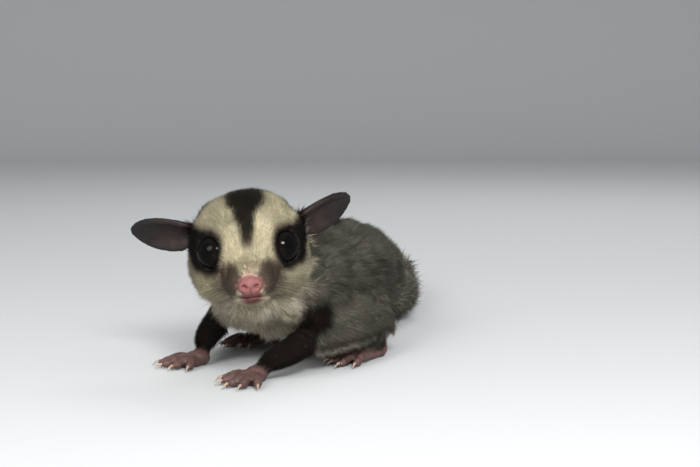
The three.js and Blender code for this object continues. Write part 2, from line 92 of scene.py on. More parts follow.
def head_frame():
    """The head's own axes, as rows, and its origin, from the places of the eyes and the nose."""
    between = (EYES["left"] + EYES["right"]) / 2
    across = unit(EYES["left"] - EYES["right"])
    to_nose = centre_of("nose") - between
    to_nose = unit(to_nose - across * np.dot(to_nose, across))
    under = np.cross(across, to_nose)
    drop = math.atan2(EYE_IN_HEAD[2] - NOSE_IN_HEAD[2], EYE_IN_HEAD[1] - NOSE_IN_HEAD[1])
    back = math.sin(drop) * under - math.cos(drop) * to_nose
    up = np.cross(across, back)
    axes = np.array([across, back, up])
    origin = between - np.array([0, EYE_IN_HEAD[1], EYE_IN_HEAD[2]]) @ axes
    return axes, origin


HEAD_AXES, HEAD_ORIGIN = head_frame()


def in_head(points):
    return (points - HEAD_ORIGIN) @ HEAD_AXES.T


def from_head(points):
    return points @ HEAD_AXES + HEAD_ORIGIN


# Numbers and noise


def rise(low, high, value):
    """0 below low, 1 above high, and smooth between. With low above high it falls instead."""
    share = np.clip((value - low) / (high - low), 0, 1)
    return share * share * (3 - 2 * share)


def mix(a, b, share):
    """Between two numbers, or between two colours with one share for each point."""
    if np.ndim(a):
        share = np.asarray(share)[..., None]
    return a + (b - a) * share


def waves(points, size, seed, count=14):
    """Soft noise between about -1 and 1, with lumps of about the given size."""
    rng = np.random.default_rng(seed)
    turns = unit(rng.normal(size=(count, 3))) * rng.uniform(0.6, 1.5, (count, 1)) * 2.6 / size
    starts = rng.uniform(0, 2 * np.pi, count)
    return np.sin(points @ turns.T + starts).sum(axis=1) / math.sqrt(count / 2) / 1.6


# Meshes in and out of arrays

# For each kind of value on a point: the field's name, how many numbers it has, and their type
STORED_AS = {
    "FLOAT": ("value", 1, np.float32),
    "INT": ("value", 1, np.int32),
    "FLOAT_VECTOR": ("vector", 3, np.float32),
    "FLOAT_COLOR": ("color", 4, np.float32),
}


def rows_of(items, field, width, number=np.float32):
    """One row of numbers for each item of a mesh's collection."""
    values = np.empty(len(items) * width, number)
    items.foreach_get(field, values)
    return values.reshape(-1, width)


def read(mesh):
    """A mesh's points in millimetres, its edges and its triangles."""
    points = rows_of(mesh.vertices, "co", 3).astype(float) / MM
    edges = rows_of(mesh.edges, "vertices", 2, np.int32)
    mesh.calc_loop_triangles()
    return points, edges, rows_of(mesh.loop_triangles, "vertices", 3, np.int32)


def normals_of(mesh):
    return rows_of(mesh.vertex_normals, "vector", 3).astype(float)


def place(mesh, points):
    mesh.vertices.foreach_set("co", (points * MM).astype(np.float32).ravel())
    mesh.update()


def keep(mesh, name, kind, values):
    """Stores a value, vector or colour for each point of a mesh."""
    field, _, number = STORED_AS[kind]
    layer = mesh.attributes.get(name) or mesh.attributes.new(name, kind, "POINT")
    if kind == "FLOAT_COLOR":
        values = np.column_stack([values, np.ones(len(values))])
    layer.data.foreach_set(field, np.ascontiguousarray(values, number).ravel())


def kept(mesh, name):
    """What keep() stored under a name, a colour without its alpha."""
    layer = mesh.attributes[name]
    field, width, number = STORED_AS[layer.data_type]
    values = rows_of(layer.data, field, width, number)
    return values[:, 0] if width == 1 else values[:, :3].astype(float)


def mesh_from(name, points, triangles):
    """A mesh of triangles, from points in millimetres."""
    mesh = bpy.data.meshes.new(name)
    mesh.vertices.add(len(points))
    place(mesh, points)
    mesh.loops.add(triangles.size)
    mesh.loops.foreach_set("vertex_index", triangles.astype(np.int32).ravel())
    mesh.polygons.add(len(triangles))
    mesh.polygons.foreach_set("loop_start", np.arange(0, triangles.size, 3, dtype=np.int32))
    mesh.update(calc_edges=True)
    mesh.shade_smooth()
    return mesh


def piece(name, mesh, material, stands_for=()):
    """An object for a mesh, which rides on the body."""
    made = bpy.data.objects.new(name, mesh)
    bpy.context.scene.collection.objects.link(made)
    mesh.materials.append(material)
    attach(made, "root")
    if stands_for:
        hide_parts(*stands_for)


class Web:
    """Which points of a mesh are joined by an edge, for spreading values over it."""

    def __init__(self, count, edges):
        self.count = count
        self.a, self.b = edges.T
        self.degree = np.maximum(np.bincount(edges.ravel(), minlength=count), 1)

    def mean(self, values):
        """The mean over each point's neighbours."""
        columns = values.reshape(self.count, -1)
        spread = [
            np.bincount(self.a, column[self.b], self.count) + np.bincount(self.b, column[self.a], self.count)
            for column in columns.T
        ]
        return (np.array(spread) / self.degree).T.reshape(values.shape)

    def soften(self, values, rounds):
        for _ in range(rounds):
            values = (values + self.mean(values)) / 2
        return values

    def relax(self, points, rounds, weight):
        """Smooths points without shrinking the form, by a share for each point."""
        for _ in range(rounds):
            points = points + (self.mean(points) - points) * 0.5 * weight
            points = points - (self.mean(points) - points) * 0.52 * weight
        return points

    def islands(self):
        """A number for each point, alike where points are connected."""
        label = np.arange(self.count)
        while True:
            before = label.copy()
            lower = np.minimum(label[self.a], label[self.b])
            np.minimum.at(label, self.a, lower)
            np.minimum.at(label, self.b, lower)
            label = label[label]
            if np.array_equal(label, before):
                return label


# Settings that a user would change


def length_property(name, words, metres, **limits):
    return FloatProperty(name=name, description=words, default=metres, unit="LENGTH", **limits)


def angle_property(name, words, degrees):
    return FloatProperty(name=name, description=words, default=math.radians(degrees), unit="ROTATION")


def share_property(name, words, highest):
    return FloatProperty(name=name, description=words, default=1.0, subtype="FACTOR", soft_max=highest)


def colour_property(name, words, colour):
    return FloatVectorProperty(
        name=name,
        description=words,
        default=colour,
        subtype="COLOR",
        size=3,
        min=0,
        max=1,
    )


class GliderSkinSettings(bpy.types.PropertyGroup):
    """Sizes of the skin"""

    detail: length_property("Detail", "Size of the skin's smallest faces", 0.00045, min=0.0003)
    swell: length_property("Swell", "How far the solids grow so that they join into one skin", 0.00035)
    ripple: length_property("Ripple", "Height of the soft folds under the long coat", 0.0004)
    crease_depth: length_property("Crease depth", "Depth of the creases of the bare skin", 0.00012)


class GliderCoatSettings(bpy.types.PropertyGroup):
    """Sizes of the coat"""

    triangles: IntProperty(
        name="Triangles",
        description="Triangles in each piece of the coat",
        default=184000,
        max=195000,
    )
    length: share_property("Length", "Share of the coat's natural length", 1.5)
    width: length_property("Tuft width", "Width of a tuft on the back", 0.00028)
    stray: angle_property("Stray", "How far a tuft turns away from the lie of the coat", 13)


class GliderColours(bpy.types.PropertyGroup):
    """Colours of the coat and the bare skin"""

    cream: colour_property("Cream", "Forehead and cheeks", (0.5, 0.445, 0.3))
    throat: colour_property("Throat", "Chin, chest and belly", (0.66, 0.59, 0.45))
    grey: colour_property("Grey", "Back, flanks and tail", (0.115, 0.108, 0.085))
    dark: colour_property("Dark", "Stripe, eye rings, arms and flank band", (0.0065, 0.0048, 0.0038))
    brown: colour_property("Brown", "Sides of the muzzle", (0.11, 0.077, 0.058))
    fringe: colour_property("Fringe", "Edge of the gliding membrane", (0.2, 0.185, 0.15))
    pink: colour_property("Pink", "Nose and lips", (0.17, 0.064, 0.062))
    # The paws' colour is partly their own and partly painted shade, darkened as if the hands lay in shade
    paw: colour_property("Paw", "Skin of the hands and feet", (0.08, 0.044, 0.038))
    ear: colour_property("Ear", "Skin of the ears", (0.0065, 0.0048, 0.0046))
    ear_base: colour_property("Ear base", "Skin inside the ear's cup", (0.017, 0.0088, 0.0073))
    claw: colour_property("Claw", "Horn of the claws", (0.3, 0.22, 0.17))


class GliderStageSettings(bpy.types.PropertyGroup):
    """Camera and light"""

    azimuth: angle_property("Azimuth", "Direction that the camera looks from, round the animal", 36)
    elevation: angle_property("Elevation", "Height of the camera above the horizon", 6.5)
    distance: length_property("Distance", "From the camera to the eyes", 0.33)
    scale: FloatProperty(
        name="Scale",
        description="Pixels of the photograph for each metre at the eyes",
        default=3750,
    )
    brightness: share_property("Brightness", "Share of the studio's usual light", 3)


def chosen_colours():
    """The colours in use, as arrays."""
    group = bpy.context.scene.glider_colours
    return SimpleNamespace(**{name: np.array(getattr(group, name)) for name in GliderColours.__annotations__})


# The hands and feet, laid out as in the solids

HEAD_AT = np.array([5, -45, 35])  # the head's origin in that layout
# Length, share of the palm or sole, where the digits start along it, and how far apart
HAND = (16, 0.42, 0.78, 1.35)
FOOT = (25, 0.5, 0.92, 1.5)
# Wrist or heel, and heading in degrees
PAWS = {
    "hand_left": ((12.5, -50.5), -98),
    "hand_right": ((-14, -41.5), -122),
    "foot_left": ((22.5, -4), -99),
    "foot_right": ((-21.5, 2), -84),
}
# Angle from the heading, share of the paw's length, and how far back the digit starts
FINGERS = [(-54, 0.34, 0.24), (-24, 0.4, 0.13), (-2, 0.43, 0.02), (20, 0.45, 0.09), (44, 0.38, 0.2)]
TOES = [(-62, 0.25, 0.42), (-16, 0.3, 0.02), (-9, 0.32, 0), (6, 0.38, 0), (22, 0.34, 0.08)]
# How far the solids of the claws reach past the digit, to its sides, and up
CLAW_REACH = 3.2
CLAW_REACH_ASIDE = 1.3
CLAW_HEIGHT = 3
KNUCKLES = (0.36, 0.72)  # shares of a digit's length


def turned(vector, angle):
    x, y = vector
    return np.array([x * math.cos(angle) - y * math.sin(angle), x * math.sin(angle) + y * math.cos(angle)])


def digits_of(name):
    """Root, direction and length of each digit of a hand or foot, and whether it has a claw."""
    kind, end = name.split("_")
    side = SIDES[end]
    start, heading = PAWS[name]
    heading = math.radians(heading)
    hand = kind == "hand"
    length, palm_share, forward, apart = HAND if hand else FOOT
    palm = length * palm_share
    digits = []
    for i, (spread, share, back) in enumerate(FINGERS if hand else TOES):
        root = np.array([palm * (forward - back), side * (i - 2) * apart])
        digits.append(
            {
                "root": np.array(start) + turned(root, heading) + (HEAD_ORIGIN - HEAD_AT)[:2],
                "way": turned((1, 0), heading + side * math.radians(spread)),
                "length": length * share,
                "claw": hand or i > 0,
            }
        )
    return digits


def beside(points, digit):
    """How far points are along a digit, and across from its line."""
    away = points[:, :2] - digit["root"]
    return away @ digit["way"], away[:, 0] * digit["way"][1] - away[:, 1] * digit["way"][0]


def trim_claws(points):
    """Draws the skin over each claw back to the end of its finger or toe."""
    points = points.copy()
    for name in PAWS:
        for digit in digits_of(name):
            if digit["claw"]:
                along, across = beside(points, digit)
                past = along - digit["length"] - 0.25
                on_claw = (past > 0) & (past < CLAW_REACH) & (np.abs(across) < CLAW_REACH_ASIDE)
                over = on_claw & (points[:, 2] < CLAW_HEIGHT)
                points[over, :2] -= digit["way"] * (past[over] * 0.9)[:, None]
    return points


# The coat's sizes and lie, and the skin under it, in millimetres

# What each part carries: depth of the coat, length and lift of its tufts, and how bare it is
COAT_OF = {
    "head": (1.3, 3.4, 24, 0),
    "nose": (0, 0.4, 10, 1),
    "ear": (0, 0.8, 15, 1),
    "neck": (2.4, 5.2, 28, 0),
    "breast": (2.5, 5.2, 28, 0),
    "midbody": (2.7, 5.6, 29, 0),
    "rump": (2.8, 4.9, 22, 0),
    "upper": (1.4, 3.4, 24, 0),
    "forearm": (0.9, 2.2, 22, 0),
    "hand": (0, 0.8, 10, 1),
    "thigh": (2, 4.8, 26, 0),
    "shin": (1, 2.8, 22, 0),
    "foot": (0, 0.8, 10, 1),
    "membrane": (0.4, 2.6, 18, 0),
    "tail": (4.6, 10.5, 27, 0),
}
TAIL_ROOT_COAT = 0.6  # share of the tail's coat that its first length carries
TAIL_TIP_COAT = 0.8  # and its last
TAIL_ROOT = 30  # how far along the tail its root stays narrower
TAIL_NARROWING = 0.24  # how much of its thickness the root loses
TIP_HAIR = 7.5  # how far the last tufts of the tail reach past its skin
SOCKET_REACH = 0.42  # how near the eyeball the skin counts as the socket's wall
SOCKET_DEPTH = 0.35  # how far that wall lies inside the eyeball's surface
SKIN_GAP = 0.05  # from the floor to the lowest skin

# How many rounds of smoothing each thing on the skin gets
ROUNDS = {
    "coat": 40,
    "bare": 8,
    "wrists": 30,
    "firm": 10,
    "form": 30,
    "seams": 70,
    "seam reach": 50,
    "under coat": 6,
    "lie": 60,
    "arms": 40,
    "marking": 3,
}


def kind_of(node):
    return node.split("_")[0]


def of_kind(labels, names, *kinds):
    """Which points belong to parts of the given kinds."""
    return np.isin(labels, [index for index, name in enumerate(names) if kind_of(name) in kinds])


def mirrored(spots):
    """Places in the head's frame, all brought to its left side."""
    return np.column_stack([np.abs(spots[:, 0]), spots[:, 1:]])


def line_directions(points, line):
    """For each point, the direction of the nearest stretch of a line of points, eased along it."""
    line = np.array(line)
    middles = (line[:-1] + line[1:]) / 2
    ways = unit(line[1:] - line[:-1])
    weight = 1 / (((points[:, None] - middles[None]) ** 2).sum(axis=2) + 25) ** 2
    return unit(weight @ ways)


NEXT_DOWN = {"upper": "forearm", "forearm": "hand", "thigh": "shin", "shin": "foot"}


def lie_of_coat(points, labels, names):
    """The direction in which the coat lies at each point, before it is eased over the skin."""
    lie = np.zeros_like(points)
    tail_line = [centre_of("rump"), *(centre_of(name) for name in TAIL_NODES)]
    tail_line.append(tail_line[-1] * 2 - tail_line[-2])
    for index, name in enumerate(names):
        at = labels == index
        if not at.any():
            continue
        spots = points[at]
        kind = kind_of(name)
        side = SIDES.get(name.split("_")[-1], 0)
        if kind in ("head", "nose"):
            # Away from the nose, a little upwards over the crown and downwards over the cheeks
            away = in_head(spots) - NOSE_IN_HEAD
            away[:, 2] += np.where(in_head(spots)[:, 2] > 0, 2.5, -1)
            lie[at] = unit(away) @ HEAD_AXES
        elif kind == "ear":
            lie[at] = unit(centre_of(name) - HEAD_ORIGIN)
        elif kind == "tail":
            lie[at] = line_directions(spots, tail_line)
        elif kind in ("upper", "forearm", "thigh", "shin"):
            end = name.split("_")[-1]
            lie[at] = unit(centre_of(f"{NEXT_DOWN[kind]}_{end}") - centre_of(name))
        elif kind in ("hand", "foot"):
            lie[at] = (0, -1, 0)
        elif kind == "membrane":
            lie[at] = unit(np.array([side * 0.55, 0.6, -0.55]))
        else:
            # Backwards over the trunk, and more and more downwards over the flanks
            out = np.clip((spots[:, 0] - centre_of("midbody")[0]) / 20, -1, 1)
            low = rise(26, 12, spots[:, 2])
            lie[at] = unit(np.column_stack([out * 0.15, 1 - 0.2 * low, -0.28 * np.abs(out) - 0.2 * low]))
    return lie


def head_coat(spots):
    """Depth of the coat and length of its tufts over the head, from places in the head's own frame."""
    from_nose = np.linalg.norm(spots - NOSE_IN_HEAD, axis=1)
    folded = mirrored(spots)
    from_eye = np.linalg.norm(folded - EYE_IN_HEAD, axis=1) - EYE_RADIUS
    cheek = rise(-2, -9, spots[:, 2]) * rise(-14, -6, spots[:, 1])
    length = mix(0.8, 3.0, rise(1, 20, from_nose)) + 1.2 * cheek
    by_ear = rise(8, 4.5, np.linalg.norm(folded - EAR_IN_HEAD, axis=1))
    length = np.maximum(length, 5 * by_ear)
    length = np.minimum(length, mix(1.0, 6.0, rise(0.2, 6, from_eye)))
    depth = np.minimum(length * 0.4, 1.7) * rise(0.6, 3.5, from_eye) * rise(1.5, 6, from_nose)
    behind = rise(3, 12, spots[:, 1])
    return depth, length * (1 + 0.5 * behind)


def core_of(spots, line):
    """For each place along the tail, where the tail's middle line passes it, across and up."""
    return np.column_stack([np.interp(spots[:, 1], line[:, 1], line[:, axis]) for axis in (0, 2)])


def slim_tail(points, depth, along_tail):
    """Draws back the end of the tail's skin, narrows its root, and keeps its coat's depth small."""
    order = np.argsort(points[along_tail, 1])
    spots = points[along_tail][order]
    slices = np.array_split(spots, 40)
    middles = np.array([part.mean(axis=0) for part in slices])
    radius = np.empty(len(spots))
    radius[order] = np.linalg.norm((spots[:, [0, 2]] - core_of(spots, middles)) * [0.85, 1], axis=1)
    depth[along_tail] = np.minimum(depth[along_tail], radius * 0.52)
    narrowing = TAIL_NARROWING * rise(TAIL_ROOT, 0, spots[:, 1] - spots[0, 1])
    spots[:, [0, 2]] += (core_of(spots, middles[2:]) - spots[:, [0, 2]]) * narrowing[:, None]
    narrowed = np.empty_like(spots)
    narrowed[order] = spots
    points = points.copy()
    points[along_tail] = narrowed
    way = unit(middles[-1] - middles[-5])
    end = (points[along_tail] @ way).max()
    left = end - points @ way
    pull = TIP_HAIR * rise(3 * TIP_HAIR, 0, left) * along_tail
    return points - way * pull[:, None], depth


def joined_solids(swell):
    """All solids of flesh as one mesh, each grown a little so that it reaches into its neighbours."""
    joined = bmesh.new()
    for name in FLESH_NODES:
        part = bmesh.new()
        part.from_mesh(SOLIDS[name].data)
        bmesh.ops.remove_doubles(part, verts=part.verts, dist=1e-6)
        part.normal_update()
        grow = 0 if name == "head" else swell
        for corner in part.verts:
            corner.co += corner.normal * grow
        passing = bpy.data.meshes.new("part")
        part.to_mesh(passing)
        part.free()
        joined.from_mesh(passing)
        bpy.data.meshes.remove(passing)
    mesh = bpy.data.meshes.new("flesh")
    joined.to_mesh(mesh)
    joined.free()
    return mesh


def remeshed(mesh, detail):
    """One even, closed mesh over everything in the given mesh."""
    rough = bpy.data.objects.new("rough", mesh)
    bpy.context.scene.collection.objects.link(rough)
    remesh = rough.modifiers.new("one surface", "REMESH")
    remesh.mode = "VOXEL"
    remesh.voxel_size = detail
    graph = bpy.context.evaluated_depsgraph_get()
    even = bpy.data.meshes.new_from_object(rough.evaluated_get(graph))
    bpy.data.objects.remove(rough)
    bpy.data.meshes.remove(mesh)
    return even


def refine(mesh):
    """Drops hidden scraps, and divides the faces round the nose, the mouth and the lids."""
    points, edges, _ = read(mesh)
    islands = Web(len(points), edges).islands()
    main = np.bincount(islands).argmax()
    spots = in_head(points)
    near_nose = np.linalg.norm(spots - NOSE_AND_MOUTH, axis=1) < 6.5
    near_lid = np.abs(np.linalg.norm(mirrored(spots) - EYE_IN_HEAD, axis=1) - EYE_RADIUS) < 1.2
    fine = near_nose | near_lid
    work = bmesh.new()
    work.from_mesh(mesh)
    work.verts.ensure_lookup_table()
    bmesh.ops.subdivide_edges(
        work,
        edges=[edge for edge in work.edges if all(fine[end.index] for end in edge.verts)],
        cuts=1,
        use_grid_fill=True,
    )
    work.verts.ensure_lookup_table()
    scraps = [work.verts[i] for i in np.flatnonzero(islands != main)]
    bmesh.ops.delete(work, geom=scraps, context="VERTS")
    work.to_mesh(mesh)
    work.free()
    return mesh


def labels_of(points, names):
    """Which solid each point is nearest to."""
    corners, faces, owner = [], [], []
    for index, name in enumerate(names):
        spots, _, triangles = read(SOLIDS[name].data)
        faces.extend((triangles + len(corners)).tolist())
        corners.extend(spots.tolist())
        owner.extend([index] * len(triangles))
    tree = BVHTree.FromPolygons(corners, faces)
    owner = np.array(owner)
    return owner[[tree.find_nearest(spot)[2] for spot in points.tolist()]]


def coat_sizes(points, labels, names):
    """For each point, the coat's depth, the length and lift of its tufts, and how bare the skin is."""
    table = np.array([COAT_OF[kind_of(name)] for name in names], float)
    depth, length, lift, bare = table[labels].T
    head = of_kind(labels, names, "head")
    depth[head], length[head] = head_coat(in_head(points[head]))
    tail_root = labels == names.index(TAIL_NODES[0])
    depth[tail_root] *= TAIL_ROOT_COAT
    length[tail_root] *= TAIL_ROOT_COAT
    length[labels == names.index(TAIL_NODES[-1])] *= TAIL_TIP_COAT
    return depth, length, lift, bare


def eased_bareness(bare, labels, names, web):
    """How bare the skin is, with a soft border, which is widest at the wrists and ankles."""
    paws = of_kind(labels, names, "hand", "foot")
    return np.maximum(web.soften(bare * ~paws, ROUNDS["bare"]), web.soften(bare * paws, ROUNDS["wrists"]))


def joined_forms(points, labels, names, edges, web):
    """Smooths the skin where two parts of the body meet, so that one runs into the other."""
    seam = seams_of(labels, np.array([kind_of(name) for name in names]), edges, web)[:, None]
    for _ in range(ROUNDS["seams"]):
        points = points + (web.mean(points) - points) * 0.5 * seam
    return points


def seams_of(labels, kinds, edges, web):
    """1 where two solids of the body meet, and less further away. Seams of the head and ears don't count."""
    ends = kinds[labels[edges]]
    meeting = (ends[:, 0] != ends[:, 1]) & ~np.isin(ends, ["head", "nose", "ear"]).any(axis=1)
    seam = np.zeros(len(labels))
    seam[edges[meeting].ravel()] = 1
    seam = web.soften(seam, ROUNDS["seam reach"])
    return rise(0.1, 0.6, seam / seam.max())


def settle_eyes(points):
    """Draws the walls of each socket in under its eyeball, so that the lids lie on the ball."""
    for side in SIDES:
        away = points - EYES[side]
        distance = np.linalg.norm(away, axis=1)
        wall = distance < EYE_RADIUS + SOCKET_REACH
        points[wall] = EYES[side] + unit(away[wall]) * (EYE_RADIUS - SOCKET_DEPTH)
    return points


def carve_face(points):
    """Nostrils with their wings, the groove between them, and the line of the mouth."""
    spots = in_head(points)
    x, y, z = spots.T
    front = rise(-22.3, -23.6, y)
    push = np.zeros(len(spots))
    for side in SIDES.values():
        bore = ((x - side * 1.5) / 0.72) ** 2 + ((z + 4.75 - 0.25 * side * (x - side * 1.5)) / 0.5) ** 2
        push += 1.15 * np.exp(-bore) * front
        wing = ((x - side * 2.6) / 0.5) ** 2 + ((z + 4.5) / 0.9) ** 2
        push -= 0.25 * np.exp(-wing) * front
    push += 0.4 * np.exp(-((x / 0.28) ** 2)) * rise(-4.4, -5.6, z) * rise(-8.4, -7.4, z) * front
    line = z + 8.5 + 0.123 * (y + 20.5)
    lips = np.exp(-((line / 0.3) ** 2)) * rise(-12, -16, y)
    spots[:, 1] += push
    inward = unit(np.array([0, -12, -7.5]) - spots)
    spots = spots + inward * (0.55 * lips)[:, None]
    return from_head(spots)


def folds_of(points, bare):
    """How deep each point lies in a fold of the bare skin, from 0 to 1, with rings round the knuckles."""
    lines = np.abs(waves(points, 0.9, 5)) + 0.6 * np.abs(waves(points, 0.5, 6))
    folds = (1 - np.clip(lines, 0, 1)) ** 2 * 0.7
    for name in PAWS:
        for digit in digits_of(name):
            along, across = beside(points, digit)
            on_digit = (np.abs(across) < 1.6) & (along > 0) & (along < digit["length"])
            for knuckle in KNUCKLES:
                for ring in (-0.5, 0, 0.5):
                    offset = (along - digit["length"] * knuckle - ring) / 0.14
                    folds = np.maximum(folds, np.exp(-(offset**2)) * on_digit * 0.9)
    return folds * bare


# Markings: the same colours for the skin and for the coat that grows on it. Limits of rise() are in
# millimetres from the part's own middle, or shares where they compare a normal or a ratio.

RING_MIDDLE = 10.4  # the dark ring round an eye lies about here, outwards from the middle of the face
STRIPE_HEIGHTS = [-3, 2, 5, 7.5, 10.2, 14]  # above the eyes
STRIPE_HALF_WIDTHS = [0.7, 1.35, 1.75, 1.9, 3.7, 5.2]  # of the dark stripe, at those heights
TAIL_FADE = (55, 125)  # along the tail, where grey turns to dark
EAR_SLICES = 12  # places across an ear where its outline is measured


def head_colours(spots, colours):
    """Colours over the head, from places in its own frame."""
    wobble = waves(spots, 2.2, 21) * 0.25
    x = np.abs(spots[:, 0] + waves(spots, 3, 22) * 0.15)
    y = spots[:, 1]
    z = spots[:, 2] - EYE_IN_HEAD[2]
    # Height above the eyes, as the face is seen from the front and a little from above
    high = z * math.cos(FACE_TILT) + (y - EYE_IN_HEAD[1]) * math.sin(FACE_TILT)
    face = SimpleNamespace(x=x, y=y, z=z, high=high, wobble=wobble)
    throat = rise(-10.5, -13.5, high + wobble)
    colour = mix(np.tile(colours.cream, (len(spots), 1)), colours.throat, throat)
    colour = ruff_colours(colour, face, colours)
    colour = eye_band_colours(colour, face, colours)
    pad = np.hypot((x - 5.3) / 3.4, (high + 7.8) / 4.5) + wobble * 0.12
    colour = mix(colour, colours.brown, rise(1.16, 0.8, pad) * rise(-10, -13, y) * 0.95)
    colour = crown_stripe_colours(colour, face, colours)
    return muzzle_colours(colour, face, colours)


def ruff_colours(colour, face, colours):
    """Grey on the back of the head, and a darker grey edge behind the cheeks: painted shade where the head
    turns away from the light.
    """
    x, y, z, wobble = face.x, face.y, face.z, face.wobble
    behind = rise(4.5, 8.5, y + 0.25 * (z - 4) + wobble) * rise(-9, -3, z)
    colour = mix(colour, colours.grey, behind * 0.9)
    # Painted shade: the lower side of the head behind the cheek is darkened towards grey
    edge = rise(13.5, 16, x + wobble) * rise(-2, -5, face.high) * rise(-9, -5, y)
    return mix(colour, colours.grey * 0.8, edge * 0.8)


def eye_band_colours(colour, face, colours):
    """A dark ring round each eye, wider outwards, and a dark band from it to the ear."""
    x, y, z = face.x, face.y, face.z
    outer = x > RING_MIDDLE
    front = np.where(outer, rise(-3, -7, y), rise(2, -2, y))
    reach = np.where(outer, 6.2, 3.9)
    slant = 0.38 * np.maximum(x - RING_MIDDLE, 0)
    ring = np.hypot((x - RING_MIDDLE) / reach, (face.high + 0.2 - slant) / 5.2) + face.wobble * 0.06
    colour = mix(colour, colours.brown * 0.6, rise(1.38, 1.05, ring) * front * 0.85)
    colour = mix(colour, colours.dark, rise(1.12, 0.96, ring) * front)
    share = np.clip((y + 9) / 14, 0, 1)
    band = np.hypot(y - (14 * share - 9), z - (3.4 * share - 0.2)) / (4.4 - 1.6 * share)
    round_ear = np.hypot((y - 5.4) / 4.6, (z - 4.4) / 5.8)
    band = np.minimum(band, round_ear) + face.wobble * 0.12
    return mix(colour, colours.dark, rise(1.2, 0.8, band) * rise(8.5, 11, x))


def crown_stripe_colours(colour, face, colours):
    """The dark stripe from between the eyes over the crown, and on down the nape."""
    x, y, z, high, wobble = face.x, face.y, face.z, face.high, face.wobble
    half = np.interp(high + 1.2, STRIPE_HEIGHTS, STRIPE_HALF_WIDTHS)
    stripe = rise(half + 0.4, half - 0.4, x + wobble * 0.4) * rise(-2.5, 1, high + wobble) * rise(4, 1, y)
    crown = rise(5.4, 4.4, x + wobble) * rise(0, 3, y) * rise(10, 12, high)
    nape = rise(4.8, 3.8, x + wobble) * rise(4, 7, y) * rise(-4, 1, z)
    tint = mix(colours.brown * 0.6, colours.dark, rise(-1, 4, high))
    return mix(colour, tint, np.maximum(stripe, np.maximum(crown, nape)) * 0.98)


def muzzle_colours(colour, face, colours):
    """Pink on the bridge of the nose, round the nose pad and on the lips, and dark nostrils: painted shade in
    their openings.
    """
    x, y, high = face.x, face.y, face.high
    bridge = np.exp(-((x / 2.0) ** 2)) * rise(-2, -5.5, high) * rise(-13, -16, y)
    colour = mix(colour, mix(colours.pink, colours.cream, 0.45), bridge * 0.6)
    nose = np.hypot(x / 3.1, (high + 8.8) / 2.4)
    colour = mix(colour, colours.pink * 0.9, rise(1.35, 0.75, nose) * rise(-18, -20, y) * 0.9)
    lips = np.hypot(x / 2.9, (high + 12.1) / 1.6)
    red = colours.pink * [0.9, 0.66, 0.72]
    colour = mix(colour, red, rise(1.3, 0.7, lips) * rise(-16, -18, y) * 0.92)
    # Painted shade: the openings of the nostrils are darkened
    nostril = np.hypot((x - 1.5) / 0.75, (face.z + 6.15) / 0.55)
    return mix(colour, colours.dark * 4, rise(1.1, 0.5, nostril) * rise(-22, -23.5, y))


def ear_colours(spots, colours):
    """Dark thin leaves, black at the tip and round the rim, and warmer inside the cup at the base."""
    out = np.abs(spots[:, 0])
    off = np.abs(spots[:, 2] - along_ear(out, spots[:, 2], np.mean, 0))
    rim = along_ear(out, off, np.max, 1)
    warm = rise(31, 19, out) * rise(0.95, 0.55, off / np.maximum(rim, 1))
    tint = mix(colours.ear, colours.ear_base, warm)
    return tint * (1 + 0.25 * waves(spots, 1.6, 31))[:, None]


def along_ear(out, values, measure, otherwise):
    """For each point, what the measure says of the values near its place outwards from the head."""
    places = np.linspace(out.min(), out.max(), EAR_SLICES)
    slot = np.clip(np.digitize(out, places) - 1, 0, EAR_SLICES - 2)
    found = [measure(values[slot == i]) if (slot == i).any() else otherwise for i in range(EAR_SLICES - 1)]
    return np.interp(out, (places[:-1] + places[1:]) / 2, found)


def off_spine(points):
    """How far points are sideways from the line along the back, from the rump to the head."""
    line = np.array([centre_of(name) for name in ("rump", "midbody", "breast", "neck")])
    line = np.vstack([line, from_head(np.array([0, 14, 6]))])
    line = line[np.argsort(line[:, 1])]
    return np.abs(points[:, 0] - np.interp(points[:, 1], line[:, 1], line[:, 0]))


def body_colours(points, normals, colours):
    """Colours of the trunk: dark stripe along the spine, grey back, dark lower flank and pale belly."""
    x = points[:, 0] - centre_of("midbody")[0]
    z = points[:, 2]
    wobble = waves(points, 6, 41)
    patches = 1 + 0.2 * waves(points, 4, 42) + 0.2 * waves(points, 1.8, 43)
    colour = colours.grey * patches[:, None]
    stripe = rise(3.8, 2, off_spine(points) + wobble * 0.4) * rise(0.2, 0.6, normals[:, 2])
    colour = mix(colour, colours.dark * 2, stripe * 0.92)
    flank = rise(16, 10, z + wobble * 2) * rise(8, 15, np.abs(x))
    colour = mix(colour, colours.dark * 5, flank * 0.2)
    belly = rise(-0.35, -0.75, normals[:, 2] + wobble * 0.06) * rise(14, 10, z)
    return mix(colour, colours.throat, belly)


def chest_colours(points, normals, colours):
    """Colours of the breast: pale in front and below, grey above and behind the shoulders."""
    x = points[:, 0] - centre_of("breast")[0]
    y = points[:, 1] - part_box("breast")[0].y / MM
    wobble = waves(points, 5, 44)
    grey = body_colours(points, normals, colours)
    front = rise(17, 9, y + wobble * 1.2 + 0.35 * np.abs(x))
    below = rise(0.15, -0.3, normals[:, 2] + wobble * 0.1) * rise(34, 24, y)
    pale = np.maximum(front * rise(0.75, 0.35, normals[:, 2]), below)
    return mix(grey, colours.throat, pale)


def membrane_edge(side):
    """Points along the free edge of a gliding membrane, from the wrist to the ankle."""
    points = read(SOLIDS[f"membrane_{side}"].data)[0]
    out = (points[:, 0] - centre_of("midbody")[0]) * SIDES[side] - points[:, 2]
    places = np.linspace(points[:, 1].min(), points[:, 1].max(), 13)
    edge = []
    for low, high in zip(places[:-1], places[1:]):
        within = np.flatnonzero((points[:, 1] >= low) & (points[:, 1] <= high))
        if len(within):
            edge.append(points[within[out[within].argmax()]])
    return np.array(edge)


